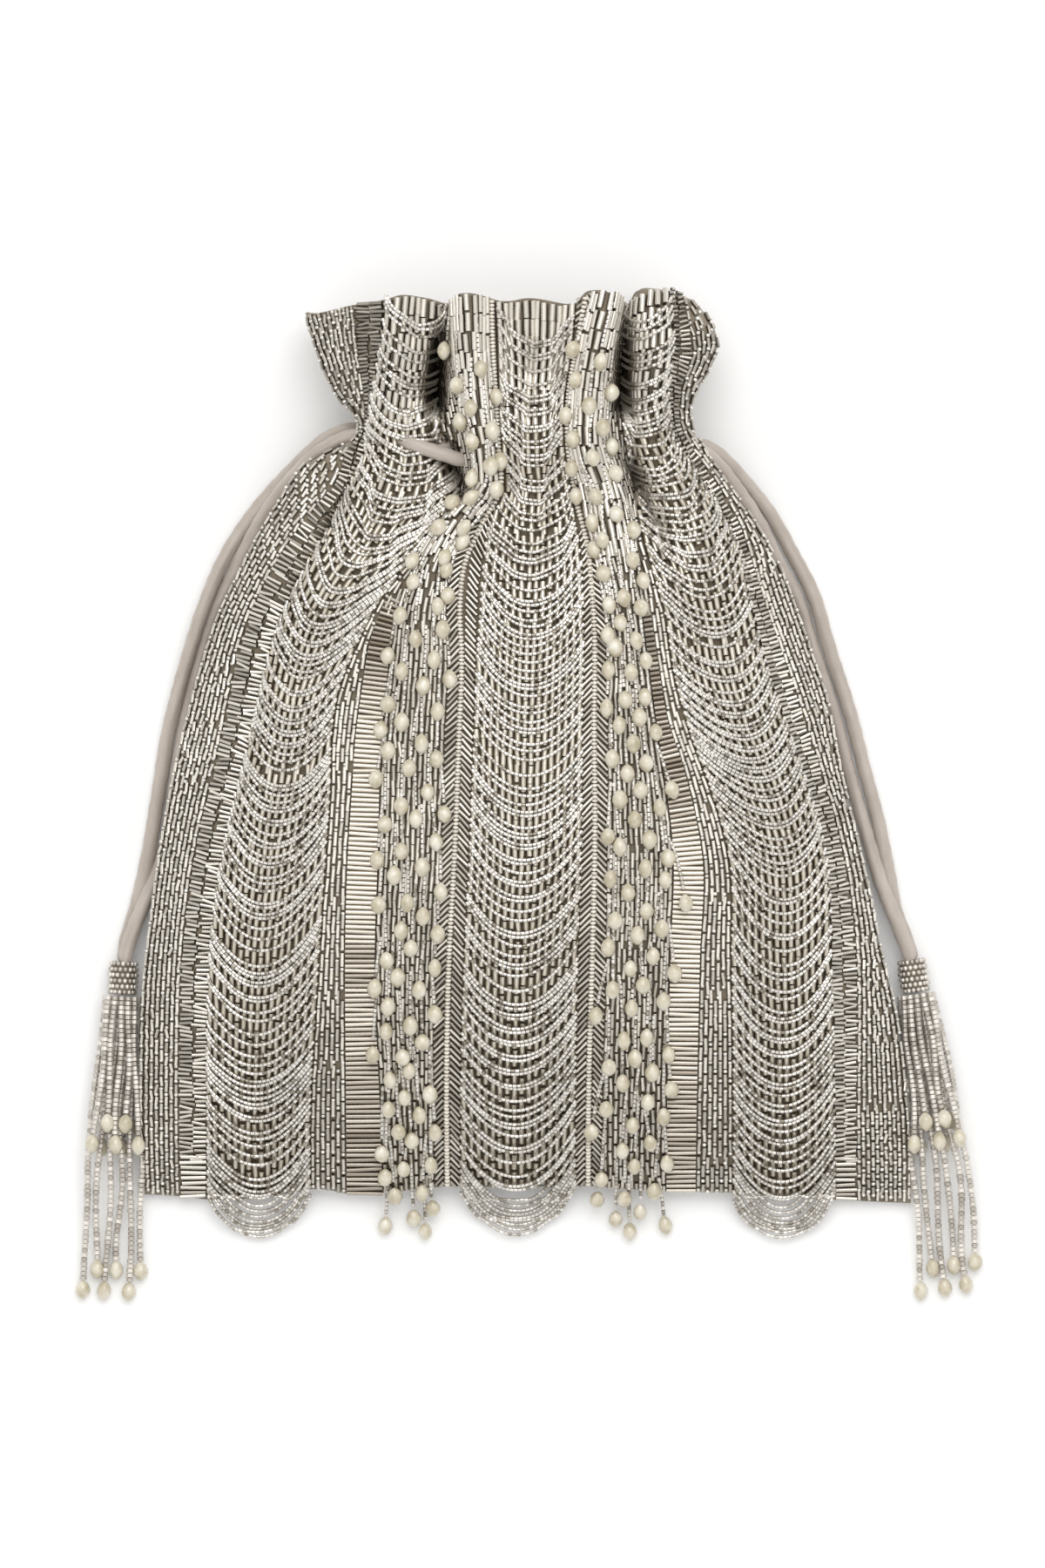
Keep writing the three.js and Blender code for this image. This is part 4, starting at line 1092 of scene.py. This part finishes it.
# %% Chevrons and their spines
CHEVRON_PITCH = 1.69 * MM
CHEVRON_LEAN = 0.77
chevron_beads, spine_beads = Beads(), Beads()
for inner, spine, spine_end, outer in (
        ("fringe_left", "spine_left", "spine_left_end", "chevron_left"),
        ("swag_centre", "spine_right", "spine_right_end", "chevron_right")):
    for left, right, lean in ((inner, spine, -CHEVRON_LEAN), (spine_end, outer, CHEVRON_LEAN)):
        py = np.arange(RUFFLE_TOP, HEM_ROW, CHEVRON_PITCH / PIXEL)
        width = (seams[right](py) - seams[left](py)) * PIXEL
        py, width = py[width > 1.2 * MM], width[width > 1.2 * MM]
        count = len(py)
        sew(chevron_beads, left, right, np.full(count, 0.5), py, lean + rng.normal(0, 0.05, count),
            (width / math.sin(CHEVRON_LEAN)).clip(0, 4.2 * MM), 0.55 * MM, rng.uniform(0.35, 1.0, count))
    py = np.arange(RUFFLE_TOP, HEM_ROW, 1.0 * MM / PIXEL)
    count = len(py)
    sew(spine_beads, spine, spine_end, np.full(count, 0.5), py, rng.normal(0, 0.08, count), 0.98 * MM,
        0.85 * MM, rng.uniform(0.4, 1.0, count), lift=0.85 * MM)
chevron_beads.piece("chevron_bugles", BUGLE, silver_glass, "bugle_beadwork", core=BUGLE_LINING_AND_HIGHLIGHT**2.2)
spine_beads.piece("chevron_spine_seeds", ROUND_SEED, spine_glass, "seed_beads")

# %% [markdown]
# A swag is a thread of about thirty seed beads, sewn down at both edges of its column and sagging
# between them in a U. The step from one thread to the next is random, so that some crowd and others
# leave gaps where the ground shows. The depth and the slant of the U change slowly down each column.
# Past the hem the last few hang free. Along a thread, beads sit at equal steps of its length.

# %% Swags of strung seed beads
SEED_STEP = 1.14 * MM
SEED_RADIUS = 0.49 * MM
TWIN_SHARE, TWIN_DROP = 0.6, 4.4
DARK_SHARE = 0.15
DARK_TONES = (0.0, 0.3)
FIRST_LOOP = {"left": 374, "centre": 395, "right": 372}
LAST_LOOP = 1424
LOOP_STEP, HEM_LOOP_STEP = 2.8 * MM, 1.3 * MM
SAGS = {
    "left": [(380, 0.50), (560, 0.45), (800, 0.46), (1100, 0.44), (1280, 0.37), (1430, 0.42)],
    "centre": [(380, 0.38), (650, 0.41), (850, 0.37), (1100, 0.38), (1300, 0.37), (1430, 0.44)],
    "right": [(380, 0.50), (600, 0.44), (850, 0.37), (1100, 0.46), (1280, 0.39), (1430, 0.43)]}
SLANTS = {
    "left": [(380, 0.14), (600, 0.08), (800, 0.02), (1100, -0.10), (1300, -0.06), (1430, -0.03)],
    "centre": [(380, 0.10), (600, -0.06), (850, 0.04), (1100, -0.06), (1300, -0.06), (1430, -0.03)],
    "right": [(380, -0.08), (600, 0.0), (850, 0.05), (1100, 0.06), (1280, -0.06), (1430, -0.03)]}


def string_beads(beads, x, y, lift, step, length, radius, tones):
    """Beads at equal steps along a thread that lies over the front cloth, each rolled at random."""
    path, normal = on_front(x, y, lift)
    gone = np.concatenate([[0], np.linalg.norm(np.diff(path, axis=0), axis=1).cumsum()])
    count = max(int(gone[-1] / step), 2)
    even = (np.arange(count) + 0.5) * gone[-1] / count
    middle = places_along(path, gone, even)
    up = places_along(normal, gone, even)
    along = np.gradient(middle, axis=0)
    along /= np.linalg.norm(along, axis=1, keepdims=True)
    up = roll(along, up, rng.uniform(-math.pi, math.pi, count))
    dark = rng.random(count) < DARK_SHARE
    tone = np.where(dark, rng.uniform(*DARK_TONES, count), rng.uniform(*tones, count))
    # Painted shade: beads in deep folds get a darker tone.
    tone = tone * fold_painted_shade(*picture_place(middle[:, 0], middle[:, 1]))
    beads.add(middle, along, up, length, radius, tone)


def loop_rows(first):
    """Lowest rows of a column's threads: random steps of half to one and a half of the mean step.

    Past the hem, where the threads hang free, they follow at even and closer steps.
    """
    steps = LOOP_STEP / PIXEL * rng.uniform(0.5, 1.5, 120)
    rows = first + np.concatenate([[0], steps.cumsum()])
    rows = rows[rows < HEM_ROW + 8]
    return np.concatenate([rows, np.arange(rows[-1] + HEM_LOOP_STEP / PIXEL, LAST_LOOP,
                                           HEM_LOOP_STEP / PIXEL)])


def with_twins(rows):
    """Some threads hang in pairs: a share of the rows gets a second thread a little lower."""
    rows = np.array(rows, float)
    room = np.append(np.diff(rows), 9) > 2.4 * TWIN_DROP
    twins = rows[room & (rng.random(len(rows)) < TWIN_SHARE)] + TWIN_DROP
    return np.sort(np.concatenate([rows, twins]))


for side, (left, right) in SWAG_COLUMNS.items():
    swags = Beads()
    share = np.linspace(0, 1, 61)
    for low in with_twins(loop_rows(FIRST_LOOP[side])):
        sag = smooth_graph(SAGS[side])(low) + rng.normal(0, 0.012)
        slant = smooth_graph(SLANTS[side])(low) + rng.normal(0, 0.02)
        start = low
        for _ in range(6):
            width = seams[right](start) - seams[left](start)
            start = low - sag * width
        round_u = 1 - np.abs(2 * share - 1) ** rng.uniform(1.95, 2.15)
        py = start + width * (slant * (share - 0.5) + sag * round_u)
        x, y = in_column(left, right, share, py)
        height = (1.75 + rng.uniform(0.3, 1.0) * (1 - np.abs(2 * share - 1) ** 4)) * MM
        tones = (0.6, 1.0) if low < HEM_ROW else (0.3, 0.95)
        string_beads(swags, x, y, height, SEED_STEP, SEED_STEP, SEED_RADIUS, tones)
    swags.piece("swags_" + side, SEED, swag_glass, "seed_beads", ["swag_strings_" + side])
    print(side, "swag:", swags.count(), "beads")

# %% [markdown]
# Fringe strands are short: a dozen seed beads and a rice pearl. They are sewn down each fringe
# column, and their pearls crowd over one another. Their number is about the photograph's, and
# their places are worked out by a rule. The lowest reach past the hem.

# %% Pearl-ended strands
PEARL_RADIUS, PEARL_LENGTH = 2.0 * MM, 5.3 * MM
PEARL_COUNT = {"left": 88, "right": 94}
FIRST_PEARL, LAST_PEARL = 404, 1416
GOLDEN_STEP = 0.618


def pearl_places(count):
    """Share across the column and row of each pearl.

    Rows follow at nearly even steps, a little closer toward the hem. Each pearl lies a golden
    share of the width on from the one before, so that no two neighbours share a lane.
    """
    n = np.arange(count)
    rows = blend(FIRST_PEARL, LAST_PEARL, (n / (count - 1)) ** 0.9) + rng.normal(0, 4, count)
    share = 1.2 * (n * GOLDEN_STEP % 1) - 0.1 + rng.normal(0, 0.05, count)
    return share, rows.clip(FIRST_PEARL, LAST_PEARL)


def hang_strand(seeds, pearls, px, py):
    """One strand along the picture places px, py: seed beads, then a pearl at its end."""
    x, y = across(px), upward(py)
    height = np.linspace(0.9, 1.7, len(x)) * MM
    string_beads(seeds, x[:-6], y[:-6], height[:-6], 1.2 * MM, 1.18 * MM, 0.55 * MM, (0.5, 1.0))
    end, normal = on_front(x[-1:], y[-1:], np.array([PEARL_RADIUS + 0.5 * MM]))
    before, _ = on_front(x[-7:-6], y[-7:-6], np.array([PEARL_RADIUS + 0.3 * MM]))
    pearls.add(end, end - before, normal, PEARL_LENGTH * rng.uniform(0.9, 1.05),
               PEARL_RADIUS * rng.uniform(0.9, 1.08), 0.5)


for side, (left, right) in FRINGE_COLUMNS.items():
    seeds, pearls = Beads(), Beads()
    steps = np.linspace(0, 1, 30)
    for end_share, py in zip(*pearl_places(PEARL_COUNT[side])):
        start_share = np.clip(end_share + rng.normal(0, 0.06), 0.06, 0.94)
        rows = np.maximum(py - rng.uniform(50, 80) * (1 - steps), RUFFLE_TOP + 8)
        x, y = in_column(left, right, blend(start_share, end_share, steps**0.7), rows)
        hang_strand(seeds, pearls, *picture_place(x, y))
    seeds.piece("fringe_seeds_" + side, SEED, swag_glass, "seed_beads")
    pearls.piece("fringe_pearls_" + side, PEARL, rice_pearl, "rice_pearls", ["pearl_fringe_" + side])
    print(side, "fringe:", pearls.count(), "pearls")

# %% [markdown]
# A tassel starts with a head: rings of seed beads wrapped over both cord ends. From it hang two
# tiers of strings, each with its pearl. The places of the strings are worked out as in the packed
# model, so each one lies where its solid does, leaning outward and stacked in three rows. Its beads
# are slightly larger than that solid.

# %% Tassels
HEAD_LENGTH, HEAD_RADIUS = 9 * MM, 4.1 * MM
CLEARANCE = 0.3 * MM
STRING_RADIUS = 0.8 * MM
TASSEL_PEARL_RADIUS, TASSEL_PEARL_LENGTH = 2.05 * MM, 5.3 * MM
OUTER_LENGTH, INNER_LENGTH, STAGGER = 43 * MM, 81 * MM, 5.6 * MM
ROOT_PITCH, STRING_PITCH = 1.75 * MM, 2.95 * MM
CORD_INTO_HEAD = 1.3 * MM
STRAIGHTEN = 0.4
TASSEL_TURN = {"left": math.radians(-2.5), "right": math.radians(8)}
SURFACE_LEVEL = TASSEL_PEARL_RADIUS + CLEARANCE / 2
INNER_LEVEL = SURFACE_LEVEL + TASSEL_PEARL_RADIUS + STRING_RADIUS + 1.5 * CLEARANCE
UPPER_LEVEL = INNER_LEVEL + STRING_RADIUS + TASSEL_PEARL_RADIUS + CLEARANCE
TASSEL_ROWS = [  # places in pitches from the middle, length, level at the head, level at the pearls
    ((-1.5, -0.5, 0.5, 1.5), OUTER_LENGTH, 2.2 * MM, SURFACE_LEVEL),
    ((-2.5, -1.5, -0.5, 0.5, 1.5, 2.5), INNER_LENGTH, 4.7 * MM, INNER_LEVEL),
    ((-2, -1, 0, 1, 2), OUTER_LENGTH - 1 * MM, 7.2 * MM, UPPER_LEVEL),
]


def tassel_string(place, index, length, root_level, pearl_level, turn):
    """Sideways place and height of a string at each length down it, in the tassel's own frame."""
    own = length - (index % 2) * STAGGER
    bend = min(OUTER_LENGTH + 2 * MM, own)
    down = np.linspace(0, own, 80)
    share = np.minimum(down / bend, 1)
    sideways = place * blend(ROOT_PITCH, STRING_PITCH, share)
    sideways = sideways - STRAIGHTEN * np.maximum(down - bend, 0) * math.tan(turn)
    level = blend(root_level, pearl_level, share)
    if own > bend:
        far = np.clip((down - bend) / (own - bend - TASSEL_PEARL_LENGTH), 0, 1)
        level = blend(level, SURFACE_LEVEL, far)
    return down, sideways, level, own


def turned(points, turn, place):
    """Points of the tassel's frame, turned about Z and carried to the head's place."""
    c, s = math.cos(turn), math.sin(turn)
    return points @ np.array([[c, s, 0], [-s, c, 0], [0, 0, 1]]) + place


for side, route in routes.items():
    turn = TASSEL_TURN[side]
    place = np.array([(route[0, 0] + route[-1, 0]) / 2, route[0, 1] + CORD_INTO_HEAD, 0])
    seeds, pearls, head = Beads(), Beads(), Beads()
    for places, length, root_level, pearl_level in TASSEL_ROWS:
        for index, where in enumerate(places):
            down, sideways, level, own = tassel_string(where, index, length, root_level, pearl_level, turn)
            path = np.column_stack([sideways, -down - HEAD_LENGTH - CLEARANCE, level])
            path = turned(path, turn, place)
            seeds_end = own - TASSEL_PEARL_LENGTH
            count = int(seeds_end / (1.22 * MM))
            sway = rng.uniform(0.3, 0.7) * MM * np.sin(down / (rng.uniform(5, 9) * MM) + rng.uniform(0, 6))
            path[:, 0] += sway * np.minimum(down / (12 * MM), 1)
            even = (np.arange(count) + 0.5) * seeds_end / count
            middle = places_along(path, down, even)
            along = np.gradient(middle, axis=0)
            along /= np.linalg.norm(along, axis=1, keepdims=True)
            up = roll(along, np.tile((0.0, 0.0, 1.0), (count, 1)), rng.uniform(-3, 3, count))
            radius = rng.uniform(0.86, 1.04, count) * MM
            seeds.add(middle, along, up, 1.2 * MM, radius, rng.uniform(0.3, 1.0, count))
            middle = places_along(path, down, [own - TASSEL_PEARL_LENGTH / 2])
            pearls.add(middle, along[-1:], np.array([[0.0, 0.0, 1.0]]), TASSEL_PEARL_LENGTH,
                       TASSEL_PEARL_RADIUS * rng.uniform(0.9, 1.0), 0.5)
    angle = np.linspace(0, 2 * math.pi, 16, endpoint=False)
    for ring in range(6):
        spot = (ring + 0.5) / 6
        radius = HEAD_RADIUS * (0.80 + 0.09 * math.sin(spot * math.pi)) - 0.1 * MM
        here = angle + (ring % 2) * math.pi / 16
        middle = np.column_stack([radius * np.cos(here), np.full(16, -spot * HEAD_LENGTH),
                                  radius * np.sin(here) + HEAD_RADIUS + CLEARANCE / 2])
        outward = np.column_stack([np.cos(here), np.zeros(16), np.sin(here)])
        round_it = np.column_stack([-np.sin(here), np.zeros(16), np.cos(here)])
        head.add(turned(middle, turn, place), turned(round_it, turn, 0 * place),
                 turned(outward, turn, 0 * place), 1.3 * MM, 0.72 * MM, rng.uniform(0.3, 1.0, 16))
    names = ["tassel_%s_outer_%d" % (side, n) for n in range(1, 10)]
    names += ["tassel_%s_inner_%d" % (side, n) for n in range(1, 7)]
    seeds.piece("tassel_seeds_" + side, SEED, tassel_glass, "seed_beads", names)
    pearls.piece("tassel_pearls_" + side, PEARL, rice_pearl, "rice_pearls")
    head.piece("tassel_wrap_" + side, ROUND_SEED, tassel_glass, "seed_beads",
               ["tassel_head_" + side])
    core_profile = [(0.0, 0), (-0.3, 0.62), (-1.4, 0.78), (-7.6, 0.78), (-8.7, 0.66), (-9.0, 0)]
    local, faces = ringed_shape([(h * MM, r * HEAD_RADIUS) for h, r in core_profile[::-1]], 24)
    local = np.column_stack([local[:, 0], local[:, 2], -local[:, 1] + HEAD_RADIUS + CLEARANCE / 2])
    new_piece("tassel_core_" + side, turned(local, turn, place), [faces], ground_cloth)

# %% [markdown]
# Last, the triangles of the pieces that show are counted.

# %% Triangle count
total = sum(len(piece.data.loops) // 3 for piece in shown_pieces() if piece.type == "MESH")
print("triangles, about:", total)
